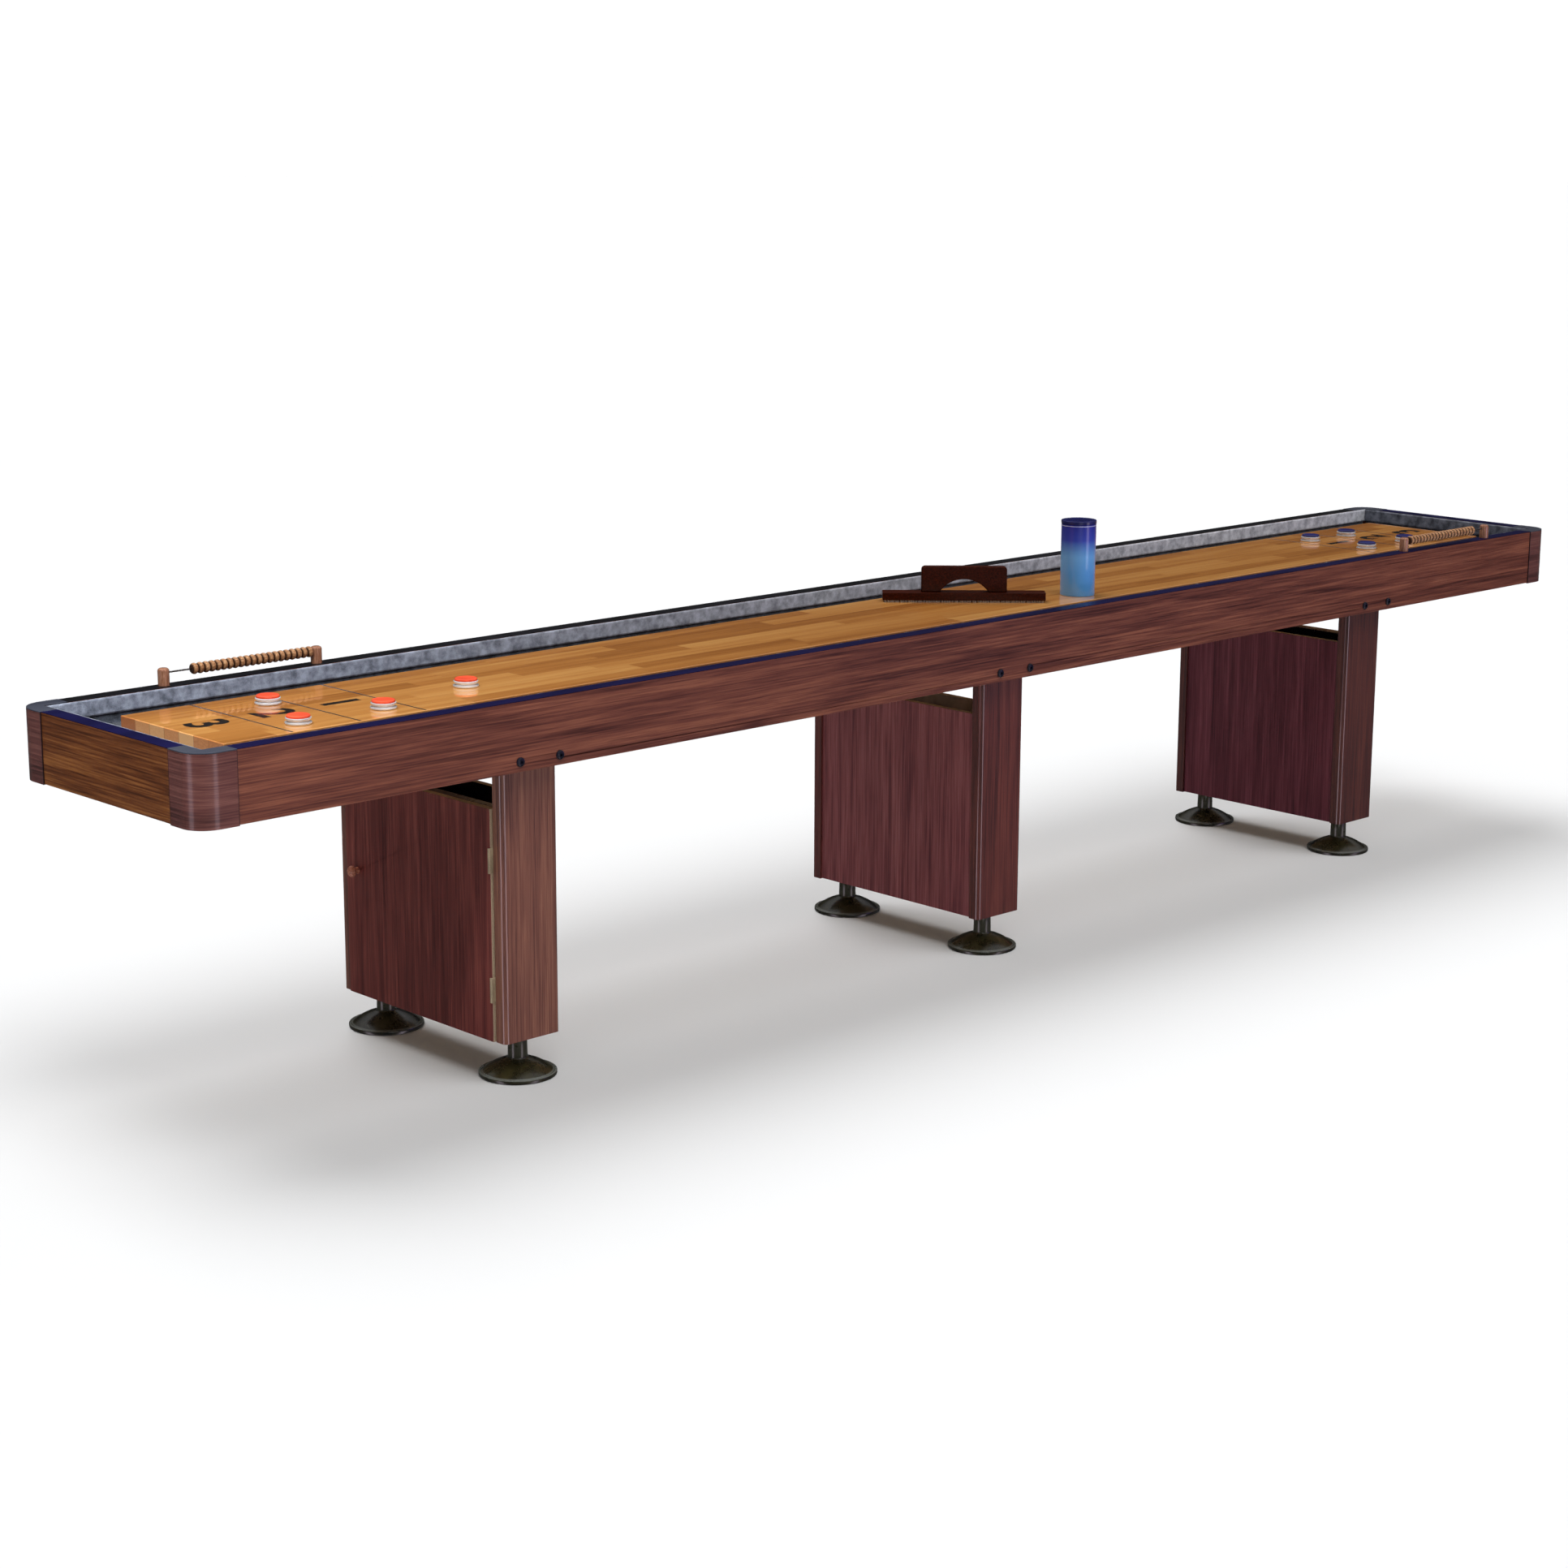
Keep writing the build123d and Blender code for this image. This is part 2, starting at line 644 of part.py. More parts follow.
# Magnetic catch on the post opposite the hinges, and its strike plate on the door
strike = board(
    (door_inner_x, door_inner_x + 1.2), (door_half - 18, door_half), (CATCH_Z - 12, CATCH_Z + 12)
)
catch = board(
    (door_inner_x + 1.5, door_inner_x + 25),
    (POST_INNER_Y - 14, POST_INNER_Y),
    (CATCH_Z - 18, CATCH_Z + 18),
)

save(door.part, "door_left")
save(turned(door.part), "door_right")
save_group([placed_knob, knob_screw.part], "door_knob_left")
save_group([turned(placed_knob), turned(knob_screw.part)], "door_knob_right")
save_group(door_leaves + [strike], "door_fittings_left")
save_group([turned(piece) for piece in door_leaves + [strike]], "door_fittings_right")
save_group(post_leaves + [turned(piece) for piece in post_leaves], "hinge_leaves_and_pins")
save_group([catch, turned(catch)], "door_catches")

# ---------------------------------------------------------------- abacus scorers


def scorer_post(x, y, rod_side):
    """Turned wooden post with a domed top, bored for the rod on the side that rod_side names."""
    with BuildPart() as turned_post:
        with BuildSketch(Plane.XY.offset(RAIL_TOP)):
            with Locations((x, y)):
                Circle(SCORER_POST_RADIUS)
        extrude(amount=SCORER_POST_HEIGHT)
        fillet(turned_post.faces().sort_by(Axis.Z)[-1].edges(), radius=6)
        with BuildSketch(Plane.YZ.offset(x)):
            with Locations((y, RAIL_TOP + ROD_HEIGHT)):
                Circle(ROD_RADIUS + ROD_CLEARANCE)
        extrude(amount=rod_side * (SCORER_POST_RADIUS + 1), mode=Mode.SUBTRACT)
    return turned_post.part


def bead(x, y):
    """Rounded wooden counter threaded on the rod."""
    half = BEAD_WIDTH / 2
    with BuildPart() as counter:
        with BuildSketch(Plane.XY):
            with BuildLine():
                Polyline((BEAD_BORE_RADIUS, -half), (BEAD_BORE_RADIUS, half), (BEAD_RADIUS * 0.62, half))
                ThreePointArc((BEAD_RADIUS * 0.62, half), (BEAD_RADIUS, 0), (BEAD_RADIUS * 0.62, -half))
                Line((BEAD_RADIUS * 0.62, -half), (BEAD_BORE_RADIUS, -half))
            make_face()
        revolve(axis=Axis.Y)
    return counter.part.moved(Location((x, y, RAIL_TOP + ROD_HEIGHT), (0, 0, 90)))


scorer_posts = []
scorer_rods = []
bead_count = BEADS_NEAR_GAP + BEADS_BEHIND
for (rod_centre, side), end in zip(SCORER_CENTRES, ENDS):
    rail_y = side * (HALF_WIDTH - SCORER_RAIL_OFFSET)
    half_spacing = SCORER_POST_SPACING / 2
    for rod_side in (1, -1):
        scorer_posts.append(scorer_post(rod_centre - rod_side * half_spacing, rail_y, rod_side))
    with BuildPart() as rod:
        with BuildSketch(Plane.YZ.offset(rod_centre - half_spacing)):
            with Locations((rail_y, RAIL_TOP + ROD_HEIGHT)):
                Circle(ROD_RADIUS)
        extrude(amount=SCORER_POST_SPACING)
    scorer_rods.append(rod.part)
    # The beads stand against the post nearer the middle, counted from that post
    start = half_spacing - SCORER_POST_RADIUS
    if end == "left":
        first_x, step = rod_centre + start - BEAD_PITCH / 2, -BEAD_PITCH
    else:
        first_x, step = rod_centre - start + RIGHT_BEADS_START + BEAD_PITCH / 2, BEAD_PITCH
    beads = [bead(first_x + step * number, rail_y) for number in range(bead_count)]
    save_group(beads[:BEADS_BEHIND], f"scorer_beads_{end}_rear")
    save_group(beads[BEADS_BEHIND:], f"scorer_beads_{end}_lead")
save_group(scorer_posts, "scorer_posts")
save_group(scorer_rods, "scorer_rods")

# ---------------------------------------------------------------- weights


def puck(x, y):
    """Waisted steel weight with a snap-in plastic cap."""
    steel_top = PUCK_HEIGHT - PUCK_CAP_HEIGHT
    waist = PUCK_RADIUS - 4
    with BuildPart() as steel:
        with BuildSketch(Plane.XZ):
            with BuildLine():
                Polyline((0, 0), (PUCK_RADIUS - 1, 0), (PUCK_RADIUS, 1), (PUCK_RADIUS, 4))
                ThreePointArc((PUCK_RADIUS, 4), (waist, 7), (PUCK_RADIUS - 1, 10))
                Polyline(
                    (PUCK_RADIUS - 1, 10),
                    (PUCK_RADIUS - 1, steel_top - 1),
                    (PUCK_RADIUS - 2, steel_top),
                    (0, steel_top),
                    (0, 0),
                )
            make_face()
        revolve(axis=Axis.Z)
    with BuildPart() as cap:
        with BuildSketch(Plane.XY.offset(steel_top)):
            Circle(PUCK_RADIUS - 3)
        extrude(amount=PUCK_CAP_HEIGHT)
        fillet(cap.faces().sort_by(Axis.Z)[-1].edges(), radius=3)
    place = Location((x, y, PLAYFIELD_TOP))
    return [steel.part.moved(place), cap.part.moved(place)]


for name, (x, y) in PUCK_PLACES.items():
    save_group(puck(x, y), name)

# ---------------------------------------------------------------- table brush

brush_plane = Plane(
    origin=(BRUSH_CENTRE[0], BRUSH_CENTRE[1], PLAYFIELD_TOP),
    x_dir=(cos(radians(BRUSH_ANGLE)), sin(radians(BRUSH_ANGLE)), 0),
    z_dir=(0, 0, 1),
)
block_top = BRISTLE_LENGTH + BRUSH_BLOCK_HEIGHT

with BuildPart() as bristles:
    with BuildSketch(brush_plane):
        Rectangle(BRUSH_LENGTH - 2 * BRISTLE_INSET, BRUSH_DEPTH - 2 * BRISTLE_INSET)
    extrude(amount=BRISTLE_LENGTH)
save(bristles.part, "brush_bristles")

with BuildPart() as brush_block:
    with BuildSketch(brush_plane.offset(BRISTLE_LENGTH)):
        RectangleRounded(BRUSH_LENGTH, BRUSH_DEPTH, 3)
    extrude(amount=BRUSH_BLOCK_HEIGHT)
    fillet(brush_block.faces().sort_by(Axis.Z)[-1].edges(), radius=2)

# The handle is an upright plate; its sketch plane stands on the block, facing across it
handle_plane = Plane(
    origin=brush_plane.offset(block_top).origin,
    x_dir=brush_plane.x_dir,
    z_dir=brush_plane.x_dir.cross(Vector(0, 0, 1)),
)
with BuildPart() as brush_handle:
    with BuildSketch(handle_plane):
        with BuildLine():
            half = HANDLE_LENGTH / 2
            arch_half = ARCH_WIDTH / 2
            Line((-half, 0), (-half, HANDLE_HEIGHT))
            Line((-half, HANDLE_HEIGHT), (half, HANDLE_HEIGHT))
            Line((half, HANDLE_HEIGHT), (half, 0))
            Line((half, 0), (arch_half, 0))
            ThreePointArc((arch_half, 0), (0, ARCH_HEIGHT), (-arch_half, 0))
            Line((-arch_half, 0), (-half, 0))
        outline = make_face()
        fillet(outline.vertices().group_by(Axis.Y)[-1], radius=HANDLE_CORNER_RADIUS)
    extrude(amount=HANDLE_THICK / 2, both=True)
save_group([brush_block.part, brush_handle.part], "brush_wood")

# ---------------------------------------------------------------- wax canister

with BuildPart() as can_body:
    with BuildSketch(Plane.XY.offset(PLAYFIELD_TOP)):
        with Locations(CAN_CENTRE):
            Circle(CAN_RADIUS)
    extrude(amount=CAN_HEIGHT - CAN_LID_HEIGHT)
    fillet(can_body.faces().sort_by(Axis.Z)[0].edges(), radius=1.2)

with BuildPart() as can_lid:
    with BuildSketch(Plane.XY.offset(PLAYFIELD_TOP + CAN_HEIGHT - CAN_LID_HEIGHT)):
        with Locations(CAN_CENTRE):
            Circle(CAN_LID_RADIUS)
    extrude(amount=CAN_LID_HEIGHT)
    fillet(can_lid.faces().sort_by(Axis.Z)[-1].edges(), radius=1.5)
save_group([can_body.part, can_lid.part], "wax_canister")
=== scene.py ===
import math

import bpy
import numpy as np
from mathutils import Matrix, Vector


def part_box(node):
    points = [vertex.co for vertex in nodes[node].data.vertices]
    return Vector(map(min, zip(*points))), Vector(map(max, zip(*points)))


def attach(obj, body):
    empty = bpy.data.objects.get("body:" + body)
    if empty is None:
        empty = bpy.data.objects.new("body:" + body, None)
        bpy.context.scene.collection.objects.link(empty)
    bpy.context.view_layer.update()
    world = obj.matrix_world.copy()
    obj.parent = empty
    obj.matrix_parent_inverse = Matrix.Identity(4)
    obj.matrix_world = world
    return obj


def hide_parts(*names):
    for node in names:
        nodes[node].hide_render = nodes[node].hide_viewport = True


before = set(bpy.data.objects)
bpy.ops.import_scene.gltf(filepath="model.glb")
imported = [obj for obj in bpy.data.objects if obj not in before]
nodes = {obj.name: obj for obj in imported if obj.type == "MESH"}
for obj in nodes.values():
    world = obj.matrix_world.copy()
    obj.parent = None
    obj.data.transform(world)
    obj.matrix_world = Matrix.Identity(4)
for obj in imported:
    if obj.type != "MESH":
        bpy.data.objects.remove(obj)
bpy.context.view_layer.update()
rng = np.random.default_rng(7)

# ---------------------------------------------------------------- camera

CAMERA_PLACE = (-4.934212, -4.741961, 1.900464)
CAMERA_YAW = 0.7607
CAMERA_PITCH = 0.2238
CAMERA_ROLL = 0.0040
CAMERA_LENS = 69.139

scene = bpy.context.scene
forward = Vector(
    (
        math.sin(CAMERA_YAW) * math.cos(CAMERA_PITCH),
        math.cos(CAMERA_YAW) * math.cos(CAMERA_PITCH),
        -math.sin(CAMERA_PITCH),
    )
)
level = Vector((math.cos(CAMERA_YAW), -math.sin(CAMERA_YAW), 0))
right = level * math.cos(CAMERA_ROLL) + level.cross(forward) * math.sin(CAMERA_ROLL)
up = right.cross(forward)
camera = bpy.data.objects.new("camera", bpy.data.cameras.new("camera"))
camera.data.lens = CAMERA_LENS
camera.data.sensor_width = 36
camera.data.clip_end = 600
camera.matrix_world = Matrix.Translation(CAMERA_PLACE) @ Matrix((right, up, -forward)).transposed().to_4x4()
scene.collection.objects.link(camera)
scene.camera = camera
scene.view_settings.view_transform = "Standard"

# ---------------------------------------------------------------- measures that looks and shapes share

BOARD_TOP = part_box("playfield_left")[1].z
BOARD_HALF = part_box("playfield_left")[1].y
RAIL_TOP = 0.776
# The scorers' rods over the rail, and out from the table's middle line
ROD_UP = 0.025
SCORER_Y = 0.2875
# Where the aprons meet the corner pieces
CORNER_X = 2.0475
CORNER_Y = 0.219
# Just past the panels' inner faces, from the middle of their pedestal
PANEL_INSIDE = 0.0612
# The canister's lid over the board
LID_LOW = 0.170

# ---------------------------------------------------------------- shader building


def shade(red, green, blue):
    """Scene-linear colour from 8-bit display values."""
    channels = []
    for value in (red / 255, green / 255, blue / 255):
        channels.append(value / 12.92 if value <= 0.04045 else ((value + 0.055) / 1.055) ** 2.4)
    return (*channels, 1.0)


class Shader:
    """A material and short ways to add nodes to it."""

    def __init__(self, name):
        self.material = bpy.data.materials.new(name)
        self.material.use_nodes = True
        self.tree = self.material.node_tree
        self.bsdf = self.tree.nodes["Principled BSDF"]
        coordinates = self.tree.nodes.new("ShaderNodeTexCoord")
        self.place = coordinates.outputs["Object"]
        self.facing = coordinates.outputs["Normal"]

    def feed(self, socket, value):
        if isinstance(value, bpy.types.NodeSocket):
            self.tree.links.new(value, socket)
        else:
            socket.default_value = value

    def node(self, kind, inputs, **settings):
        node = self.tree.nodes.new("ShaderNode" + kind)
        for key, value in settings.items():
            setattr(node, key, value)
        for key, value in inputs.items():
            self.feed(node.inputs[key], value)
        return node

    def calc(self, operation, *values):
        return self.node("Math", dict(enumerate(values)), operation=operation).outputs[0]

    def split(self, vector):
        return self.node("SeparateXYZ", {0: vector}).outputs

    def join(self, x, y, z):
        return self.node("CombineXYZ", {0: x, 1: y, 2: z}).outputs[0]

    def scaled(self, scale, vector=None):
        return self.node("Mapping", {"Vector": vector or self.place, "Scale": scale}).outputs[0]

    def noise(self, vector, scale=1.0, detail=3.0, roughness=0.5, distortion=0.0):
        inputs = {
            "Vector": vector,
            "Scale": scale,
            "Detail": detail,
            "Roughness": roughness,
            "Distortion": distortion,
        }
        return self.node("TexNoise", inputs).outputs[0]

    def spread(self, value, low, high, to_low=0.0, to_high=1.0):
        inputs = {0: value, 1: low, 2: high, 3: to_low, 4: to_high}
        return self.node("MapRange", inputs).outputs[0]

    def mix(self, factor, a, b, blend_type="MIX"):
        node = self.node("Mix", {}, data_type="RGBA", blend_type=blend_type)
        for index, value in ((0, factor), (6, a), (7, b)):
            self.feed(node.inputs[index], value)
        return node.outputs[2]

    def ramp(self, factor, *stops):
        node = self.node("ValToRGB", {0: factor})
        elements = node.color_ramp.elements
        for element, (position, colour) in zip(elements, (stops[0], stops[-1])):
            element.position = position
            element.color = colour
        for position, colour in stops[1:-1]:
            elements.new(position).color = colour
        return node.outputs[0]

    def bump(self, height, distance, strength=1.0):
        inputs = {"Height": height, "Distance": distance, "Strength": strength}
        self.feed(self.bsdf.inputs["Normal"], self.node("Bump", inputs).outputs[0])

    def surface(self, **inputs):
        for key, value in inputs.items():
            self.feed(self.bsdf.inputs[key.replace("_", " ")], value)
        return self.material


def along_axis(axis, along, across):
    """Noise scale that differs along the grain and across it."""
    scale = [across, across, across]
    scale[axis] = along
    return scale


def wood_veneer(name, dark, mid, light, axis, coat=0.0, wrap=0, seams=(), coat_ior=1.5):
    """Printed wood-grain laminate: broad figure, fine streaks, dark veins and short pores along an axis.

    With wrap the grain runs level round an upright corner instead of along one axis. Each seam
    is an axis and the distance from the centre at which two pieces meet in a dark line.
    """
    s = Shader(name)
    place = s.place
    if wrap:
        x, y, z = s.split(s.place)
        round_corner = s.calc("ADD", x, s.calc("MULTIPLY", y, float(wrap)))
        place = s.join(round_corner, 0.0, z)
    figure = s.noise(s.scaled(along_axis(axis, 1.6, 42), place), 1.0, 4, 0.5, 0.9)
    streaks = s.noise(s.scaled(along_axis(axis, 6, 320), place), 1.0, 4, 0.6, 0.3)
    veins = s.noise(s.scaled(along_axis(axis, 4, 170), place), 1.0, 3, 0.5, 0.6)
    pores = s.noise(s.scaled(along_axis(axis, 45, 1300), place), 1.0, 2, 0.5)
    tone = s.calc("ADD", s.calc("MULTIPLY", figure, 0.4), s.calc("MULTIPLY", streaks, 0.6))
    colour = s.ramp(tone, (0.36, dark), (0.50, mid), (0.64, light))
    colour = s.mix(s.calc("MULTIPLY", s.spread(veins, 0.60, 0.72), 0.5), colour, dark)
    dots = s.spread(pores, 0.60, 0.72)
    colour = s.mix(s.calc("MULTIPLY", dots, 0.3), colour, dark)
    for seam_axis, reach in seams:
        off = s.calc("SUBTRACT", s.calc("ABSOLUTE", s.split(s.place)[seam_axis]), reach)
        near = s.spread(s.calc("ABSOLUTE", off), 0.0016, 0.0009)
        colour = s.mix(s.calc("MULTIPLY", near, 0.85), colour, shade(14, 8, 10))
    s.bump(s.calc("SUBTRACT", streaks, dots), 0.0002, 0.35)
    s.surface(Base_Color=colour, Roughness=s.spread(streaks, 0.3, 0.7, 0.35, 0.48), Specular_IOR_Level=0.3)
    s.surface(Coat_Weight=coat, Coat_Roughness=0.16, Coat_IOR=coat_ior)
    return s


def faced_board(name, dark, mid, light, station, inner, edge):
    """Upright laminate facing +-X, with painted light and shade on its faces inside its pedestal, and raw
    edges.
    """
    s = wood_veneer(name, dark, mid, light, 2)
    on_face = s.calc("GREATER_THAN", s.calc("ABSOLUTE", s.split(s.facing)[0]), 0.7)
    off_centre = s.calc("ABSOLUTE", s.calc("SUBTRACT", s.split(s.place)[0], station))
    inside = s.calc("MULTIPLY", on_face, s.calc("LESS_THAN", off_centre, PANEL_INSIDE))
    cloud = s.noise(s.place, 14, 3, 0.6)
    # Painted shade on the faces inside the pedestal, a painted lit grey in the middle one
    painted_inside_shading = s.ramp(cloud, (0.3, shade(*(0.8 * c for c in inner))), (0.7, shade(*inner)))
    fibres = s.noise(s.scaled((420, 420, 900)), 1.0, 3, 0.7)
    raw = s.ramp(fibres, (0.3, shade(*(0.8 * c for c in edge))), (0.7, shade(*edge)))
    veneer = s.bsdf.inputs["Base Color"].links[0].from_socket
    s.surface(Base_Color=s.mix(inside, s.mix(on_face, raw, veneer), painted_inside_shading))
    return s.material


# Wood colours as dark, middle and light of the figure
WALNUT = (shade(62, 28, 21), shade(104, 55, 42), shade(136, 80, 58))
# The corner pieces' copy of the laminate, painted darker with a bluish tint of their highlights
WALNUT_CORNER_PAINTED_SHEEN = (shade(60, 30, 28), shade(94, 52, 48), shade(120, 74, 66))
# The end aprons' copy of the laminate, painted yellower for the light that falls on the ends
WALNUT_END_PAINTED_LIGHT = (shade(52, 23, 9), shade(100, 53, 23), shade(138, 84, 39))
# One post laminate, painted lighter at the left pedestal and darker towards the right, for the light that
# falls on each
POST_WOODS_LIT_PER_PEDESTAL = {
    "left": (shade(80, 42, 37), shade(117, 69, 56), shade(144, 93, 72)),
    "middle": (shade(63, 23, 21), shade(97, 41, 35), shade(123, 59, 47)),
    "right": (shade(55, 21, 21), shade(82, 36, 31), shade(105, 52, 40)),
}
# One panel laminate, painted per pedestal for its light: lighter and more purple in the middle, darker at
# the right
PANEL_WOODS_LIT_PER_PEDESTAL = {
    "left": (shade(70, 28, 27), shade(107, 48, 44), shade(135, 68, 59)),
    "middle": (shade(90, 42, 50), shade(129, 67, 70), shade(158, 93, 94)),
    "right": (shade(66, 24, 34), shade(97, 41, 52), shade(121, 59, 71)),
}
TAN_EDGE = (176, 152, 126)

side_seam = (0, CORNER_X)
end_seam = (1, CORNER_Y)
side_veneer = wood_veneer("walnut_laminate_sides", *WALNUT, 0, seams=[side_seam]).material
end_veneer = wood_veneer("walnut_laminate_end", *WALNUT_END_PAINTED_LIGHT, 1, seams=[end_seam]).material
corner_veneers = {}
for wrap, name in ((-1, "a"), (1, "b")):
    s = wood_veneer(f"walnut_laminate_corner_{name}", *WALNUT_CORNER_PAINTED_SHEEN, 0, 0.7, wrap, [side_seam, end_seam])
    corner_veneers[wrap] = s.material
# Each pedestal's station along the table and the painted shade of its inside, near-black in the outer
# pedestals, with a painted lit grey in the middle one
INSIDE_SHADING = {"left": (-1.361, (12, 10, 20)), "middle": (0.0, (190, 180, 178)), "right": (1.361, (14, 11, 24))}
post_veneers = {}
for p, woods in POST_WOODS_LIT_PER_PEDESTAL.items():
    post_veneers[p] = wood_veneer(f"post_laminate_{p}", *woods, 2, 0.9, coat_ior=1.9).material
panel_veneers = {}
for p, woods in PANEL_WOODS_LIT_PER_PEDESTAL.items():
    panel_veneers[p] = faced_board(f"panel_laminate_{p}", *woods, *INSIDE_SHADING[p], TAN_EDGE)


def maple():
    """Butcher-block staves along X, each cut into lengths of its own tone, under thick lacquer."""
    s = Shader("maple_playfield")
    x, y = s.split(s.place)[:2]
    half_width, stave, length = 0.175, 0.05, 0.46
    row = s.calc("DIVIDE", s.calc("ADD", y, half_width), stave)
    row_number = s.calc("FLOOR", row)
    shift = s.node("TexWhiteNoise", {"W": row_number}, noise_dimensions="1D").outputs[0]
    run = s.calc("ADD", s.calc("DIVIDE", x, length), s.calc("MULTIPLY", shift, 7.0))
    piece = s.join(row_number, s.calc("FLOOR", run), 0.0)
    tone = s.node("TexWhiteNoise", {"Vector": piece}, noise_dimensions="3D").outputs[0]
    offset = s.join(s.calc("MULTIPLY", tone, 31.0), 0.0, tone)
    own = s.node("VectorMath", {0: s.place, 1: offset}, operation="ADD").outputs[0]
    figure = s.noise(s.scaled((2.2, 45, 45), own), 1.0, 4, 0.55, 0.7)
    fine = s.noise(s.scaled((9, 420, 420), own), 1.0, 3, 0.6)
    value = s.calc("ADD", s.calc("MULTIPLY", figure, 0.5), s.calc("MULTIPLY", fine, 0.22))
    value = s.calc("ADD", value, s.calc("MULTIPLY", tone, 0.28))
    colour = s.ramp(
        value,
        (0.30, shade(156, 94, 36)),
        (0.46, shade(188, 122, 56)),
        (0.60, shade(208, 144, 74)),
        (0.76, shade(224, 166, 94)),
    )
    across = s.calc("ABSOLUTE", s.calc("SUBTRACT", s.calc("FRACT", row), 0.5))
    joint = s.spread(across, 0.482, 0.499)
    butt = s.calc("ABSOLUTE", s.calc("SUBTRACT", s.calc("FRACT", run), 0.5))
    end_joint = s.spread(butt, 0.4988, 0.4999)
    line = s.calc("MAXIMUM", joint, end_joint)
    colour = s.mix(s.calc("MULTIPLY", line, 0.45), colour, shade(120, 74, 38))
    on_end = s.calc("GREATER_THAN", s.calc("ABSOLUTE", s.split(s.facing)[0]), 0.7)
    rings = s.noise(s.scaled((30, 60, 160), own), 1.0, 4, 0.6, 2.0)
    end_tone = s.calc("ADD", s.calc("MULTIPLY", tone, 0.6), s.calc("MULTIPLY", rings, 0.4))
    end_grain = s.ramp(
        end_tone,
        (0.25, shade(196, 112, 50)),
        (0.50, shade(232, 154, 86)),
        (0.75, shade(248, 184, 116)),
    )
    end_grain = s.mix(s.calc("MULTIPLY", joint, 0.8), end_grain, shade(140, 78, 34))
    colour = s.mix(on_end, colour, end_grain)
    ripple = s.noise(s.scaled((3, 9, 9)), 1.0, 2, 0.4)
    s.bump(ripple, 0.0006, 0.15)
    s.surface(Base_Color=colour, Roughness=0.32, Specular_IOR_Level=0.35)
    return s.surface(Coat_Weight=1.0, Coat_Roughness=0.03, Coat_IOR=1.65)


def plastic(name, colour, rough, specks=0.08, coat=0.0, bump=0.0001, grain=900):
    """Moulded or painted surface with slight unevenness in tone and gloss."""
    s = Shader(name)
    cloud = s.noise(s.place, 18, 3, 0.6)
    fine = s.noise(s.place, grain, 2, 0.6)
    darker = shade(*(0.86 * c for c in colour))
    lighter = shade(*(min(255, 1.1 * c + 2) for c in colour))
    tone = s.mix(s.spread(cloud, 0.35, 0.65), darker, lighter)
    speck = s.calc("MULTIPLY", s.spread(fine, 0.5, 0.8), specks)
    tone = s.mix(speck, tone, shade(*(min(255, c + 60) for c in colour)))
    s.bump(fine, bump, 0.4)
    s.surface(Base_Color=tone, Roughness=s.spread(cloud, 0.3, 0.7, rough - 0.04, rough + 0.06))
    return s.surface(Coat_Weight=coat, Coat_Roughness=0.08, Specular_IOR_Level=0.4)


def metal(name, colour, rough, scratches=220, metallic=1.0):
    """Polished steel with fine scuffs and a slightly uneven tone."""
    s = Shader(name)
    scuff = s.noise(s.place, scratches, 4, 0.7)
    cloud = s.noise(s.place, 25, 2, 0.5)
    tone = s.mix(s.spread(cloud, 0.3, 0.7), shade(*(0.85 * c for c in colour)), shade(*colour))
    s.bump(scuff, 0.00005, 0.3)
    roughness = s.spread(scuff, 0.3, 0.7, rough, rough + 0.12)
    return s.surface(Base_Color=tone, Metallic=metallic, Roughness=roughness)


def glide_plastic():
    """Olive-black moulding with a paler stem and a painted highlight on the lip round the rim."""
    s = Shader("foot_black")
    z = s.split(s.place)[2]
    cloud = s.noise(s.place, 40, 3, 0.6)
    body = s.mix(s.spread(cloud, 0.35, 0.65), shade(24, 22, 10), shade(42, 38, 18))
    stem = s.spread(z, 0.030, 0.044)
    # Painted highlight: a pale ring on the lip round the rim
    rim_highlight = s.calc("MULTIPLY", s.spread(z, 0.0066, 0.0078), s.spread(z, 0.0098, 0.0088))
    body = s.mix(s.calc("MULTIPLY", stem, 0.75), body, shade(74, 74, 56))
    body = s.mix(s.calc("MULTIPLY", rim_highlight, 0.8), body, shade(96, 98, 92))
    s.bump(s.noise(s.place, 900, 2, 0.6), 0.0001, 0.4)
    s.surface(Base_Color=body, Roughness=s.spread(cloud, 0.3, 0.7, 0.24, 0.34), Specular_IOR_Level=0.5)
    return s.surface(Coat_Weight=0.6, Coat_Roughness=0.15)


def bead_turning():
    """Varnished beads with painted shade in their grooves, close to the rod."""
    s = Shader("turned_wood_bead")
    y, z = s.split(s.place)[1:]
    off_y = s.calc("SUBTRACT", s.calc("ABSOLUTE", y), SCORER_Y)
    off_z = s.calc("SUBTRACT", z, RAIL_TOP + ROD_UP)
    squares = s.calc("ADD", s.calc("MULTIPLY", off_y, off_y), s.calc("MULTIPLY", off_z, off_z))
    from_rod = s.calc("SQRT", squares)
    grain = s.noise(s.scaled((60, 340, 340)), 1.0, 4, 0.6, 0.6)
    wood = s.ramp(
        grain,
        (0.34, shade(124, 80, 50)),
        (0.50, shade(164, 116, 78)),
        (0.66, shade(198, 154, 112)),
    )
    # Painted shade: the grooves near the rod are darkened
    colour = s.mix(s.spread(from_rod, 0.0106, 0.0085), wood, shade(54, 30, 19))
    s.bump(grain, 0.0001, 0.3)
    s.surface(Base_Color=colour, Roughness=0.38)
    return s.surface(Coat_Weight=0.4, Coat_Roughness=0.14, Specular_IOR_Level=0.35)


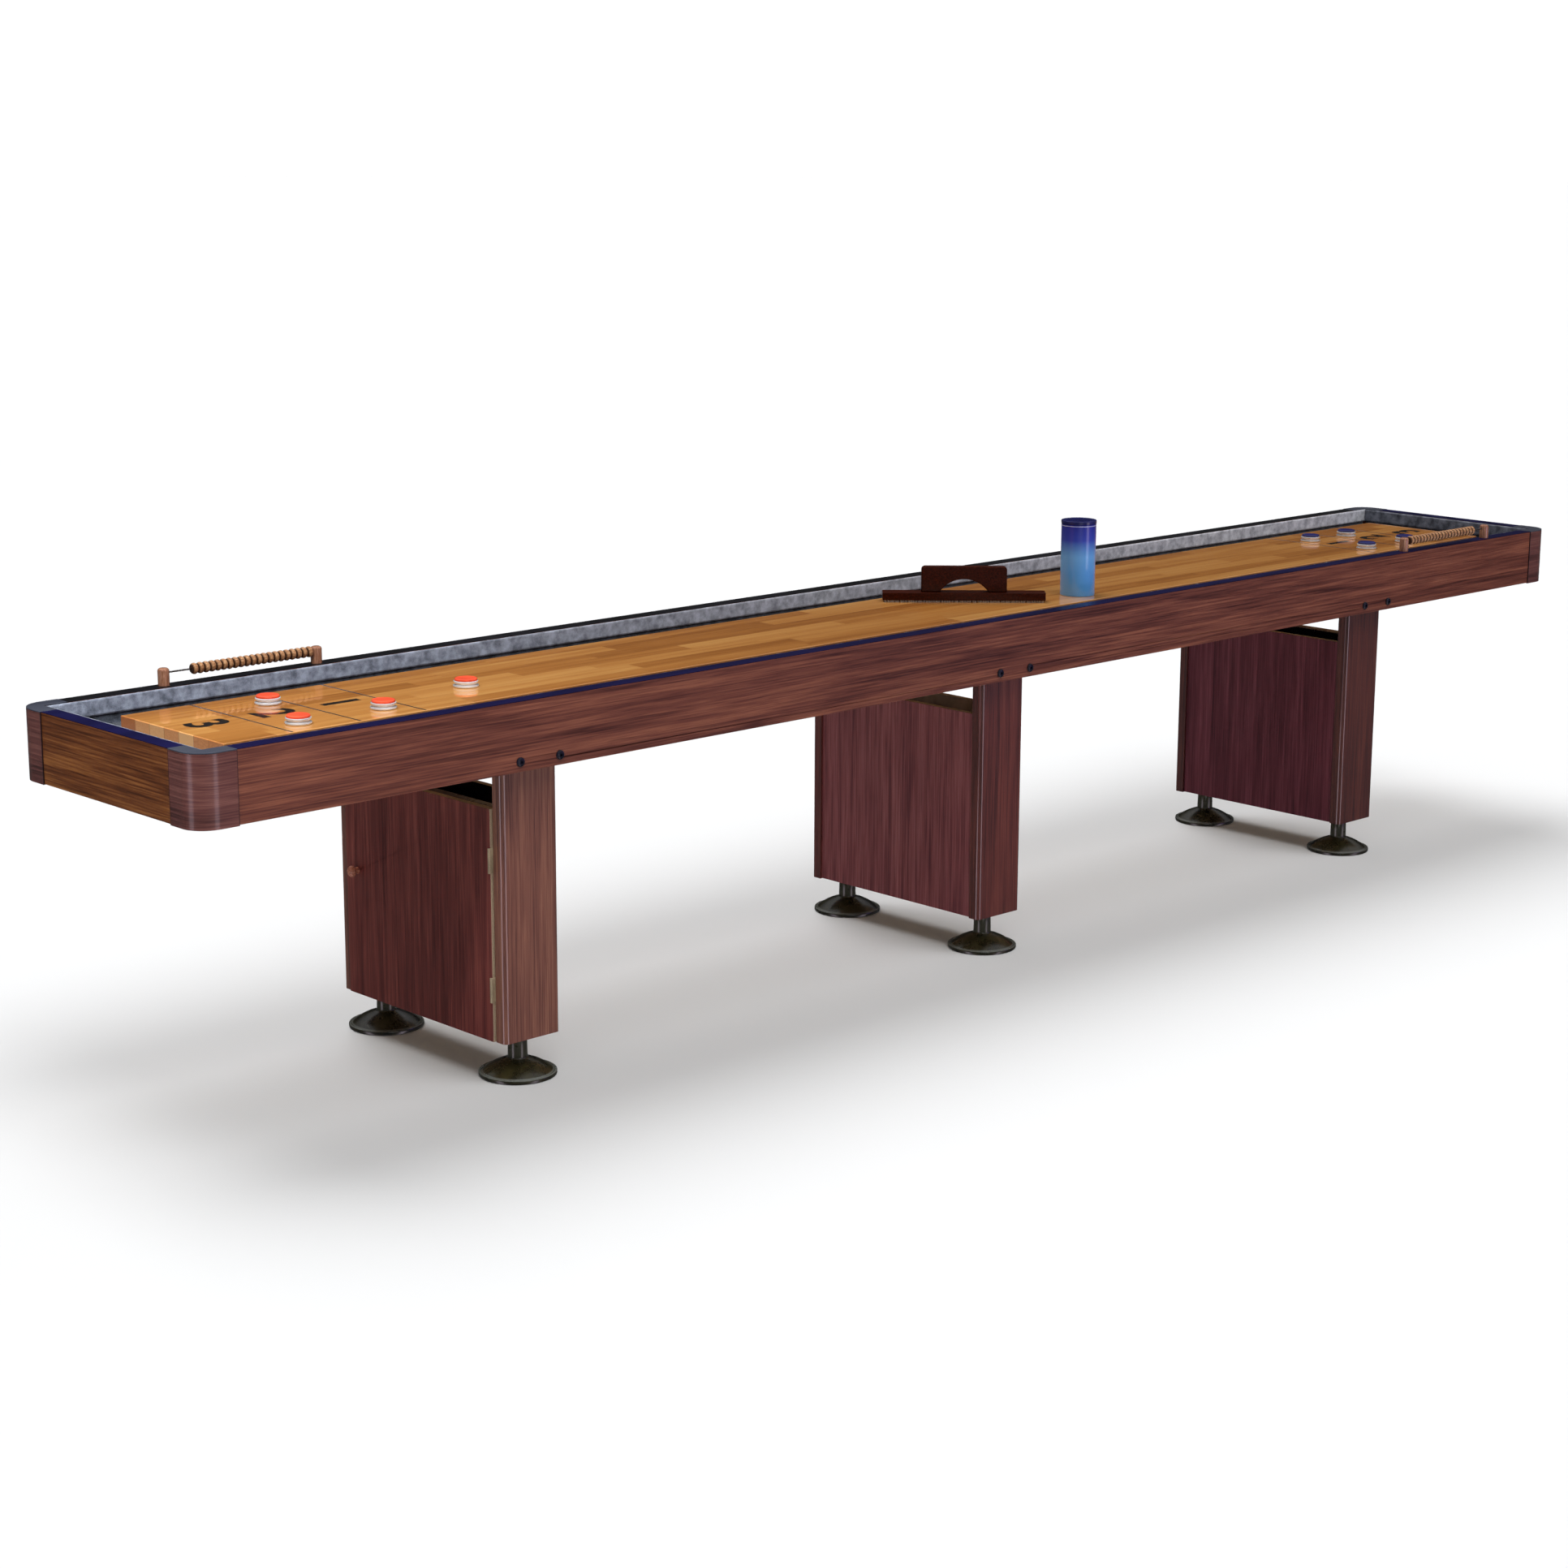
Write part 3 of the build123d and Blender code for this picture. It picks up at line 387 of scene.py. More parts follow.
def rail_cap():
    """Strips painted navy where lit at the front and black in shade along the back, and grey caps on the
    corners.
    """
    s = Shader("black_rail_cap")
    x, y = s.split(s.place)[:2]
    at_end = s.calc("GREATER_THAN", s.calc("ABSOLUTE", x), CORNER_X + 0.0001)
    at_side = s.calc("GREATER_THAN", s.calc("ABSOLUTE", y), CORNER_Y + 0.0001)
    corner = s.calc("MULTIPLY", at_end, at_side)
    cloud = s.noise(s.scaled((4, 30, 30)), 1.0, 4, 0.6)
    fine = s.noise(s.place, 700, 2, 0.6)
    navy = s.mix(s.spread(cloud, 0.3, 0.7), shade(2, 1, 38), shade(12, 9, 56))
    black = s.mix(s.spread(cloud, 0.3, 0.7), shade(6, 6, 8), shade(16, 15, 22))
    # Painted light and shade: navy where the front strips are lit, black where the back strips are shaded
    strip = s.mix(s.calc("GREATER_THAN", y, 0.22), navy, black)
    cap = s.mix(s.spread(cloud, 0.3, 0.7), shade(50, 52, 62), shade(64, 66, 76))
    s.bump(fine, 0.0001, 0.3)
    s.surface(Base_Color=s.mix(corner, strip, cap), Roughness=s.spread(cloud, 0.3, 0.7, 0.32, 0.42))
    return s.surface(Specular_IOR_Level=0.2)


def carpet(name, dark, light, painted_light=None):
    """Short dense pile: mottled tone, speckled fibres and a soft sheen.

    Where a second pair of colours is given, the carpet fades to them towards +X, painted light that makes
    the lining brighter towards the right.
    """
    s = Shader(name)
    mottle = s.noise(s.place, 42, 4, 0.6)
    fibres = s.noise(s.place, 1400, 3, 0.7)
    tufts = s.node("TexVoronoi", {"Vector": s.place, "Scale": 520.0}, feature="F1").outputs[0]
    tone = s.calc("ADD", s.calc("MULTIPLY", mottle, 0.72), s.calc("MULTIPLY", fibres, 0.28))
    colour = s.ramp(tone, (0.38, shade(*dark)), (0.62, shade(*light)))
    if painted_light:
        paler = s.ramp(tone, (0.38, shade(*painted_light[0])), (0.62, shade(*painted_light[1])))
        # Painted light: paler towards +X
        colour = s.mix(s.spread(s.split(s.place)[0], -1.4, 1.2), colour, paler)
    s.bump(s.calc("SUBTRACT", fibres, tufts), 0.0006, 0.7)
    s.surface(Base_Color=colour, Roughness=0.95, Specular_IOR_Level=0.1)
    return s.surface(Sheen_Weight=0.35, Sheen_Roughness=0.5)


def raw_timber(name, dark, light, axis):
    """Unfinished wood of the hidden parts."""
    s = Shader(name)
    rings = s.noise(s.scaled(along_axis(axis, 1.5, 55)), 1.0, 5, 0.6, 1.2)
    fibres = s.noise(s.scaled(along_axis(axis, 25, 800)), 1.0, 3, 0.6)
    tone = s.calc("ADD", s.calc("MULTIPLY", rings, 0.7), s.calc("MULTIPLY", fibres, 0.3))
    s.bump(fibres, 0.0003, 0.5)
    return s.surface(Base_Color=s.ramp(tone, (0.35, shade(*dark)), (0.65, shade(*light))), Roughness=0.8)


def turned_wood(name, dark, mid, light, axis, coat=0.6, rough=0.35, specular=0.35):
    """Small varnished turning: tight grain along its axis under lacquer."""
    s = Shader(name)
    grain = s.noise(s.scaled(along_axis(axis, 40, 340)), 1.0, 4, 0.6, 0.6)
    fine = s.noise(s.scaled(along_axis(axis, 300, 2600)), 1.0, 2, 0.5)
    tone = s.calc("ADD", s.calc("MULTIPLY", grain, 0.7), s.calc("MULTIPLY", fine, 0.3))
    s.bump(fine, 0.0001, 0.3)
    s.surface(Base_Color=s.ramp(tone, (0.34, dark), (0.5, mid), (0.66, light)), Roughness=rough)
    return s.surface(Coat_Weight=coat, Coat_Roughness=0.12, Specular_IOR_Level=specular)


def canister_paint():
    """Printed label that runs from dark blue at the top to light blue at the foot."""
    s = Shader("canister_blue")
    z = s.split(s.place)[2]
    height = s.spread(z, BOARD_TOP, BOARD_TOP + LID_LOW)
    cloud = s.noise(s.place, 30, 2, 0.5)
    level = s.calc("ADD", height, s.calc("MULTIPLY", s.calc("SUBTRACT", cloud, 0.5), 0.04))
    colour = s.ramp(
        level,
        (0.0, shade(90, 176, 255)),
        (0.30, shade(92, 174, 255)),
        (0.55, shade(112, 184, 252)),
        (0.78, shade(46, 66, 186)),
        (1.0, shade(28, 30, 150)),
    )
    return s.surface(Base_Color=colour, Roughness=0.3, Coat_Weight=0.7, Coat_Roughness=0.06)


def bristle():
    """Pale fibres, streaked along their height."""
    s = Shader("bristle_fibre")
    tips = s.noise(s.scaled((1500, 1500, 60)), 1.0, 2, 0.6)
    colour = s.ramp(tips, (0.3, shade(170, 160, 150)), (0.7, shade(226, 220, 212)))
    s.bump(tips, 0.0004, 0.6)
    return s.surface(Base_Color=colour, Roughness=0.7, Sheen_Weight=0.2)


maple_board = maple()
ink = plastic("board_ink", (22, 18, 18), 0.35, coat=1.0)
cap_black = rail_cap()
# Paler lining colours of the painted light towards +X
LINING_PAINTED_LIGHT = ((164, 166, 174), (238, 240, 247))
lining_grey = carpet("grey_carpet_lining", (96, 100, 113), (170, 175, 192), LINING_PAINTED_LIGHT)
# The end linings' copy of the carpet, painted darker for the shade they stand in
lining_shaded = carpet("grey_carpet_end_lining", (70, 74, 85), (138, 142, 156))
# Dark floor carpet, whose turned-up edges paint the board's shadow as a band along the linings
floor_grey_shadow_band = carpet("grey_carpet_floor", (40, 43, 50), (82, 86, 97))
timber = raw_timber("raw_timber", (150, 112, 74), (196, 160, 116), 0)
board_raw = raw_timber("raw_board", (140, 108, 76), (178, 146, 108), 0)
fastener_black = plastic("black_fastener", (12, 12, 26), 0.28, grain=1600, coat=0.3)
foot_plastic = glide_plastic()
steel = plastic("hinge_steel", (148, 130, 104), 0.35, specks=0.2)
rod_steel = metal("scorer_rod_steel", (150, 148, 146), 0.22)
chrome = metal("puck_chrome", (252, 252, 255), 0.06, metallic=0.5)
SCORER_WOOD = (shade(112, 70, 50), shade(148, 100, 76), shade(178, 130, 104))
KNOB_WOOD = (shade(124, 66, 50), shade(168, 100, 78), shade(204, 138, 110))
BRUSH_WOOD = (shade(28, 6, 1), shade(50, 13, 3), shade(78, 26, 6))
post_wood = turned_wood("turned_wood_post", *SCORER_WOOD, 2, rough=0.25)
bead_wood = bead_turning()
knob_wood = turned_wood("turned_wood_knob", *KNOB_WOOD, 0)
brush_lacquer = turned_wood("brush_wood", *BRUSH_WOOD, 0, 0.08, 0.3, 0.1)
cap_red = plastic("puck_red_cap", (244, 78, 46), 0.35, coat=0.5)
cap_blue = plastic("puck_blue_cap", (26, 28, 92), 0.35, coat=0.5)
canister_blue = canister_paint()
lid_navy = plastic("canister_lid_navy", (20, 22, 84), 0.25, coat=0.6)
label_white = plastic("canister_line_white", (200, 204, 226), 0.35, coat=0.6)
bristle_fibre = bristle()

# ---------------------------------------------------------------- mesh building


class Piece:
    """Collects vertices and faces in the row frame, then becomes one object."""

    def __init__(self, name):
        self.name = name
        self.points = []
        self.faces = []
        self.looks = []

    def add(self, points, faces, look=0):
        base = len(self.points)
        self.points += [tuple(p) for p in points]
        self.faces += [tuple(i + base for i in face) for face in faces]
        self.looks += [look] * len(faces)

    def turn(self, profile, centre, axis=2, segments=64, look=0):
        """Revolves (radius, height) points about an axis through centre; radius 0 closes an end."""
        points = []
        rings = []
        for radius, height in profile:
            if radius == 0:
                rings.append([len(points)])
                points.append((0, 0, height))
                continue
            rings.append(list(range(len(points), len(points) + segments)))
            for step in range(segments):
                angle = 2 * math.pi * step / segments
                points.append((radius * math.cos(angle), radius * math.sin(angle), height))
        faces = []
        for low, high in zip(rings, rings[1:]):
            for step in range(segments):
                after = (step + 1) % segments
                if len(low) == 1 and len(high) == 1:
                    break
                if len(low) == 1:
                    faces.append((low[0], high[after], high[step]))
                elif len(high) == 1:
                    faces.append((low[step], low[after], high[0]))
                else:
                    faces.append((low[step], low[after], high[after], high[step]))
        placed = []
        for x, y, z in points:
            turned = {2: (x, y, z), 0: (z, x, y), 1: (y, z, x)}[axis]
            placed.append(tuple(c + t for c, t in zip(centre, turned)))
        self.add(placed, faces, look)

    def box(self, low, high, look=0):
        ends = list(zip(low, high))
        corners = [(x, y, z) for x in ends[0] for y in ends[1] for z in ends[2]]
        faces = [(0, 1, 3, 2), (4, 6, 7, 5), (0, 4, 5, 1), (2, 3, 7, 6), (0, 2, 6, 4), (1, 5, 7, 3)]
        self.add(corners, faces, look)

    def make(self, materials, body, slot, *replaced, sharp=35, bevel=0.0):
        mesh = bpy.data.meshes.new(self.name)
        mesh.from_pydata(self.points, [], self.faces)
        mesh.polygons.foreach_set("material_index", self.looks)
        mesh.validate()
        obj = bpy.data.objects.new(self.name, mesh)
        scene.collection.objects.link(obj)
        for material in materials:
            mesh.materials.append(material)
        mesh.polygons.foreach_set("use_smooth", [True] * len(mesh.polygons))
        mesh.set_sharp_from_angle(angle=math.radians(sharp))
        if bevel:
            edge = obj.modifiers.new("bevel", "BEVEL")
            edge.width = bevel
            edge.segments = 3
            edge.limit_method = "ANGLE"
        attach(obj, body)
        if replaced:
            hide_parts(*replaced)
        return obj


def arc(centre, radius, start, end, steps=8):
    """Points on a profile's arc, angles in degrees."""
    points = []
    for step in range(steps + 1):
        angle = math.radians(start + (end - start) * step / steps)
        points.append((centre[0] + radius * math.cos(angle), centre[1] + radius * math.sin(angle)))
    return points


def three_point(start, through, end, steps=10):
    """Arc through three profile points."""
    (ax, ay), (bx, by), (cx, cy) = start, through, end
    d = 2 * (ax * (by - cy) + bx * (cy - ay) + cx * (ay - by))
    ux = ((ax**2 + ay**2) * (by - cy) + (bx**2 + by**2) * (cy - ay) + (cx**2 + cy**2) * (ay - by)) / d
    uy = ((ax**2 + ay**2) * (cx - bx) + (bx**2 + by**2) * (ax - cx) + (cx**2 + cy**2) * (bx - ax)) / d
    radius = math.hypot(ax - ux, ay - uy)
    angles = [math.degrees(math.atan2(y - uy, x - ux)) for x, y in (start, through, end)]
    first, middle, last = angles
    while middle - first > 180:
        middle -= 360
    while middle - first < -180:
        middle += 360
    while last - middle > 180:
        last -= 360
    while last - middle < -180:
        last += 360
    return arc((ux, uy), radius, first, last, steps)


# ---------------------------------------------------------------- CAD nodes that stay


def keep(names, material, bevel=0.0):
    """Gives CAD nodes their look, and boards a fine bevel that catches the light."""
    for name in names:
        node = nodes[name]
        node.data.materials.clear()
        node.data.materials.append(material)
        if bevel:
            weld = node.modifiers.new("weld", "WELD")
            weld.merge_threshold = 0.00001
            edge = node.modifiers.new("bevel", "BEVEL")
            edge.width = bevel
            edge.segments = 2
            edge.limit_method = "ANGLE"
            edge.angle_limit = math.radians(35)
            node.modifiers.new("normals", "WEIGHTED_NORMAL").keep_sharp = True


pedestals = ("left", "middle", "right")
keep(["playfield_left", "playfield_right"], maple_board)
keep(["apron_front", "apron_back"], side_veneer, 0.0008)
keep(["apron_left_end", "apron_right_end"], end_veneer, 0.0008)
keep(["corner_front_left", "corner_back_right"], corner_veneers[-1], 0.0006)
keep(["corner_front_right", "corner_back_left"], corner_veneers[1], 0.0006)
keep(["rail_top_caps"], cap_black, 0.0004)
panels = {
    "left": ["panel_left_pedestal", "door_left"],
    "middle": ["panel_middle_pedestal_left", "panel_middle_pedestal_right"],
    "right": ["panel_right_pedestal", "door_right"],
}
for p in pedestals:
    keep([f"post_{p}_front", f"post_{p}_back"], post_veneers[p])
    keep(panels[p], panel_veneers[p], 0.0006)
keep(["pedestal_bottoms", "gutter_floor"], board_raw, 0.0006)
keep(["door_stop_rails"], fastener_black, 0.0006)
keep(["floor_timbers"], timber, 0.001)
keep(["apron_bolts", "foot_t_nuts"], fastener_black)
keep(["door_fittings_left", "door_fittings_right", "hinge_leaves_and_pins"], steel)
keep(["door_catches"], fastener_black, 0.0006)

# ---------------------------------------------------------------- carpet


def carpet_piece(name, points, faces, material, replaced):
    """One carpet from its rough face, thickened on the back."""
    piece = Piece(name)
    piece.add(points, faces)
    carpeting = piece.make([material], "table", "grey_carpet", replaced, sharp=180)
    solid = carpeting.modifiers.new("thick", "SOLIDIFY")
    solid.thickness = 0.0026
    solid.offset = -1
    return carpeting


floor_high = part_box("gutter_carpet")[1]
lining_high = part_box("rail_lining")[1]
CARPET = 0.003
STEP = 0.004
PILE = 0.00022
# Top of the floor carpet turned up the rails: the dark band below it is a painted shadow of the board
SHADOW_BAND_TOP = 0.742
FACE_X = lining_high.x - CARPET
FACE_Y = lining_high.y - CARPET


def wall_strip(name, across, side, reach, low, high, material):
    """Lining on one inner rail face; across is 1 for the long rails, 0 for the ends."""
    columns = int(2 * reach / STEP)
    rows = max(3, int((high - low) / STEP))
    points = []
    for r in range(rows + 1):
        for c in range(columns + 1):
            run = reach - 2 * reach * c / columns
            face = (FACE_Y if across == 1 else FACE_X) + rng.normal(0, PILE)
            z = low + (high - low) * r / rows
            if across == 1:
                points.append((run * side, face * side, z))
            else:
                points.append((face * side, -run * side, z))
    faces = []
    for r in range(rows):
        for c in range(columns):
            first = r * (columns + 1) + c
            faces.append((first, first + 1, first + columns + 2, first + columns + 1))
    strip = carpet_piece(name, points, faces, material, "rail_lining")


lining_top = lining_high.z
wall_strip("lining_front", 1, -1, FACE_X, SHADOW_BAND_TOP, lining_top, lining_grey)
wall_strip("lining_back", 1, 1, FACE_X, SHADOW_BAND_TOP, lining_top, lining_grey)
wall_strip("lining_left_end", 0, -1, FACE_Y, SHADOW_BAND_TOP, lining_top, lining_shaded)
wall_strip("lining_right_end", 0, 1, FACE_Y, SHADOW_BAND_TOP, lining_top, lining_shaded)


def folded_profile(face, fine_from):
    """Distances from the middle out to the wall and up it, as (outward, height)."""
    curl = 0.006
    flat = list(np.arange(fine_from, face - curl, STEP))
    bend = []
    for a in np.linspace(0, math.pi / 2, 5):
        bend.append((face - curl + curl * math.sin(a), curl - curl * math.cos(a)))
    rise = [(face, h) for h in np.linspace(curl, SHADOW_BAND_TOP - floor_high.z, 4)[1:]]
    return [(d, 0.0) for d in flat] + bend + rise


def floor_carpet():
    """One tray of carpet: the gutter's floor with its edges turned up the rails, where their dark band
    paints the board's shadow on the linings.
    """
    half_x = folded_profile(FACE_X, 0.0)
    half_y = folded_profile(FACE_Y, 0.165)
    # The last points of a profile, on its curl and its rise
    turned_up = 8
    xs = [(-d, h) for d, h in reversed(half_x[1:])] + half_x
    ys = [(-d, h) for d, h in reversed(half_y)] + half_y
    points = []
    for x, hx in xs:
        for y, hy in ys:
            points.append((x, y, floor_high.z + max(hx, hy) + rng.normal(0, PILE)))
    count = len(ys)
    faces = []
    for i in range(len(xs) - 1):
        for j in range(count - 1):
            upper_x = i < turned_up or i >= len(xs) - 1 - turned_up
            upper_y = j < turned_up or j >= count - 1 - turned_up
            if upper_x and upper_y:
                continue
            faces.append((i * count + j, (i + 1) * count + j, (i + 1) * count + j + 1, i * count + j + 1))
    tray = carpet_piece("gutter_floor_carpet", points, faces, floor_grey_shadow_band, "gutter_carpet")


floor_carpet()

# ---------------------------------------------------------------- board markings

INK_THICK = 0.00015
LINE_HALF = 0.0022
LINE_REACH = BOARD_HALF - 0.002
markings = Piece("board_markings")
for x in (1.838, 1.685, 1.533):
    for end in (-1, 1):
        low = (end * x - LINE_HALF, -LINE_REACH, BOARD_TOP - 0.0001)
        high = (end * x + LINE_HALF, LINE_REACH, BOARD_TOP + INK_THICK)
        markings.box(low, high)


def numeral(text, x, end):
    """A printed figure read from outside the end of the board."""
    curve = bpy.data.curves.new("numeral", "FONT")
    curve.body = text
    curve.size = 0.118
    curve.align_x = "CENTER"
    curve.align_y = "CENTER"
    curve.extrude = INK_THICK / 2
    curve.offset = 0.0032
    holder = bpy.data.objects.new("numeral", curve)
    scene.collection.objects.link(holder)
    bpy.context.view_layer.update()
    mesh = bpy.data.meshes.new_from_object(holder)
    low = Vector([min(v.co[k] for v in mesh.vertices) for k in range(3)])
    high = Vector([max(v.co[k] for v in mesh.vertices) for k in range(3)])
    middle = (low + high) / 2
    turn = Matrix.Rotation(math.radians(90 * end), 3, "Z")
    points = [turn @ (v.co - middle) + Vector((x, 0, BOARD_TOP + INK_THICK / 2)) for v in mesh.vertices]
    markings.add(points, [tuple(p.vertices) for p in mesh.polygons])
    bpy.data.objects.remove(holder)
    bpy.data.curves.remove(curve)
    bpy.data.meshes.remove(mesh)


for text, x in (("3", 1.911), ("2", 1.761), ("1", 1.609)):
    for end in (-1, 1):
        numeral(text, end * x, end)
markings.make([ink], "table", "black_rail_cap", sharp=180)

# ---------------------------------------------------------------- levelling feet

foot_profile = [(0, 0), (0.0765, 0), (0.078, 0.0006), (0.0785, 0.002), (0.0785, 0.0066), (0.0780, 0.0077)]
foot_profile += [(0.0770, 0.0084), (0.0755, 0.0085), (0.0745, 0.0079), (0.0738, 0.0071), (0.0730, 0.0070)]
foot_profile += three_point((0.0730, 0.0070), (0.0500, 0.0225), (0.0230, 0.033), 16)[1:]
foot_profile += three_point((0.0230, 0.033), (0.0206, 0.035), (0.0200, 0.039), 8)[1:]
foot_profile += [(0.0190, 0.083), (0.0185, 0.0838), (0.006, 0.084), (0.006, 0.128)]
foot_profile += [(0.005, 0.129), (0, 0.129)]
for p in pedestals:
    for side in ("front", "back"):
        low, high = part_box(f"foot_{p}_{side}")
        foot = Piece(f"levelling_foot_{p}_{side}")
        foot.turn(foot_profile, ((low.x + high.x) / 2, (low.y + high.y) / 2, 0), segments=96)
        foot.make([foot_plastic], f"foot_{p}_{side}", "foot_black", f"foot_{p}_{side}")

# ---------------------------------------------------------------- abacus scorers

POST_RADIUS = 0.0115
POST_OUT = 0.18
SCORERS = {"left": (-1.6435, SCORER_Y), "right": (1.6745, -SCORER_Y)}
post_profile = [(0, 0), (POST_RADIUS, 0), (POST_RADIUS, 0.029)]
post_profile += arc((POST_RADIUS - 0.006, 0.029), 0.006, 0, 90, 8)[1:] + [(0, 0.035)]
posts = Piece("scorer_post_set")
rods = Piece("scorer_rod_set")
rod_profile = [(0, -POST_OUT), (0.00175, -POST_OUT), (0.00175, POST_OUT), (0, POST_OUT)]
for x, y in SCORERS.values():
    for side in (-1, 1):
        posts.turn(post_profile, (x + side * POST_OUT, y, RAIL_TOP), segments=48)
    rods.turn(rod_profile, (x, y, RAIL_TOP + ROD_UP), 0, 20)
posts.make([post_wood], "table", "turned_wood", "scorer_posts")
rods.make([rod_steel], "table", "scorer_rod_steel", "scorer_rods")

BEAD_RADIUS = 0.0113
BEAD_HALF = 0.00665
BEAD_PITCH = 0.0136
edge = BEAD_RADIUS * 0.56
bead_profile = [(0.0022, -BEAD_HALF), (BEAD_RADIUS * 0.55, -BEAD_HALF)]
bead_profile += three_point((edge, -BEAD_HALF), (BEAD_RADIUS, 0), (edge, BEAD_HALF), 14)
bead_profile += [(BEAD_RADIUS * 0.55, BEAD_HALF), (0.0022, BEAD_HALF), (0.0022, -BEAD_HALF)]
for end, (x, y) in SCORERS.items():
    for part in ("rear", "lead"):
        node = f"scorer_beads_{end}_{part}"
        low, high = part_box(node)
        count = round((high.x - low.x) / BEAD_PITCH)
        beads = Piece(f"beads_{end}_{part}_set")
        for number in range(count):
            bead_x = low.x + BEAD_HALF + number * BEAD_PITCH
            beads.turn(bead_profile, (bead_x, y, RAIL_TOP + ROD_UP), 0, 40)
        beads.make([bead_wood], f"beads_{end}_{part}", "turned_wood", node)

# ---------------------------------------------------------------- pucks

STEEL_TOP = 0.013
steel_profile = [(0, 0.0004), (0.0250, 0.0004), (0.0256, 0.0007), (0.026, 0.0013), (0.026, 0.0036)]
steel_profile += three_point((0.0257, 0.0041), (0.022, 0.007), (0.0249, 0.0099), 10)
steel_profile += [(0.025, 0.0102), (0.025, 0.0119), (0.0247, 0.0126), (0.024, STEEL_TOP), (0, STEEL_TOP)]
cap_profile = [(0, 0.0129), (0.0228, 0.0129), (0.023, 0.0133), (0.023, 0.0150)]
cap_profile += arc((0.0200, 0.0150), 0.003, 0, 90, 8)[1:] + [(0.017, 0.01785), (0.012, 0.0176), (0, 0.0175)]
for colour, material in (("red", cap_red), ("blue", cap_blue)):
    for number in range(1, 5):
        node = f"puck_{colour}_{number}"
        low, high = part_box(node)
        centre = ((low.x + high.x) / 2, (low.y + high.y) / 2, low.z)
        steel_body = Piece(f"{node}_steel")
        steel_body.turn(steel_profile, centre, segments=96)
        steel_body.make([chrome], node, "puck_chrome", node, sharp=50)
        cap = Piece(f"{node}_cap")
        cap.turn(cap_profile, centre, segments=96)
        cap.make([material], node, f"puck_{colour}_cap")

# ---------------------------------------------------------------- brush

BRUSH_CENTRE = (0.169, 0.013)
BRUSH_ANGLE = math.radians(-43.7)
BLOCK_LOW = 0.0045
BLOCK_TOP = 0.023


def brush_place(u, v, z):
    """Brush frame: u along the block, v across it, z up from the board."""
    x = BRUSH_CENTRE[0] + u * math.cos(BRUSH_ANGLE) - v * math.sin(BRUSH_ANGLE)
    y = BRUSH_CENTRE[1] + u * math.sin(BRUSH_ANGLE) + v * math.cos(BRUSH_ANGLE)
    return (x, y, BOARD_TOP + z)


def slab(piece, outline, low, high, place):
    """A closed prism over an outline; place(u, v, w) puts each point."""
    count = len(outline)
    points = [place(u, v, low) for u, v in outline] + [place(u, v, high) for u, v in outline]
    faces = [tuple(reversed(range(count))), tuple(range(count, 2 * count))]
    for i in range(count):
        j = (i + 1) % count
        faces.append((i, j, count + j, count + i))
    piece.add(points, faces)


def rounded_outline(half_u, half_v, radius, steps=6):
    """A rectangle about the origin with rounded corners."""
    outline = []
    for cu, cv, start in ((1, 1, 0), (-1, 1, 90), (-1, -1, 180), (1, -1, 270)):
        outline += arc((cu * (half_u - radius), cv * (half_v - radius)), radius, start, start + 90, steps)
    return outline


block = Piece("brush_block")
slab(block, rounded_outline(0.1905, 0.021, 0.003), BLOCK_LOW, BLOCK_TOP, brush_place)
block.make([brush_lacquer], "brush", "brush_wood", "brush_wood", bevel=0.0018)

half, arch_half, tall, corner_radius = 0.100, 0.057, 0.060, 0.009
grip_outline = [(-arch_half, 0.0), (-half, 0.0)]
grip_outline += [(-half, tall - corner_radius)]
grip_outline += arc((-half + corner_radius, tall - corner_radius), corner_radius, 180, 90, 6)[1:]
grip_outline += arc((half - corner_radius, tall - corner_radius), corner_radius, 90, 0, 6)
grip_outline += [(half, 0.0)]
grip_outline += three_point((arch_half, 0.0), (0.0, 0.030), (-arch_half, 0.0), 24)[:-1]
grip_outline.reverse()
grip = Piece("brush_grip")
slab(grip, grip_outline, -0.010, 0.010, lambda u, w, v: brush_place(u, -v, BLOCK_TOP + w))
grip.make([brush_lacquer], "brush", "brush_wood", bevel=0.0022)

tufts = Piece("brush_tufts")
ROWS_LONG, ROWS_WIDE, TUFT_SIDES = 62, 6, 7
REACH_U, REACH_V = 0.1874, 0.0179
TUFT_PROFILE = ((0.0002, 0.0029), (0.0025, 0.0026), (0.0049, 0.0021))
tuft_faces = [tuple(reversed(range(TUFT_SIDES))), tuple(range(2 * TUFT_SIDES, 3 * TUFT_SIDES))]
for r in (0, TUFT_SIDES):
    for k in range(TUFT_SIDES):
        n = (k + 1) % TUFT_SIDES
        tuft_faces.append((r + k, r + n, r + TUFT_SIDES + n, r + TUFT_SIDES + k))
for i in range(ROWS_LONG):
    for j in range(ROWS_WIDE):
        u = -0.183 + 0.366 * i / (ROWS_LONG - 1) + rng.normal(0, 0.0004)
        v = -0.0165 + 0.033 * j / (ROWS_WIDE - 1) + rng.normal(0, 0.0003)
        lean_u, lean_v = rng.normal(0, 0.0007, 2)
        points = []
        for z, radius in TUFT_PROFILE:
            share = 1 - z / TUFT_PROFILE[-1][0]
            for k in range(TUFT_SIDES):
                a = 2 * math.pi * k / TUFT_SIDES
                tip_u = u + lean_u * share + radius * math.cos(a)
                tip_v = v + lean_v * share + radius * math.sin(a)
                tip_u = min(max(tip_u, -REACH_U), REACH_U)
                tip_v = min(max(tip_v, -REACH_V), REACH_V)
                points.append(brush_place(tip_u, tip_v, z))
        tufts.add(points, tuft_faces)
tufts.make([bristle_fibre], "brush", "bristle_fibre", "brush_bristles", sharp=60)

# ---------------------------------------------------------------- wax canister

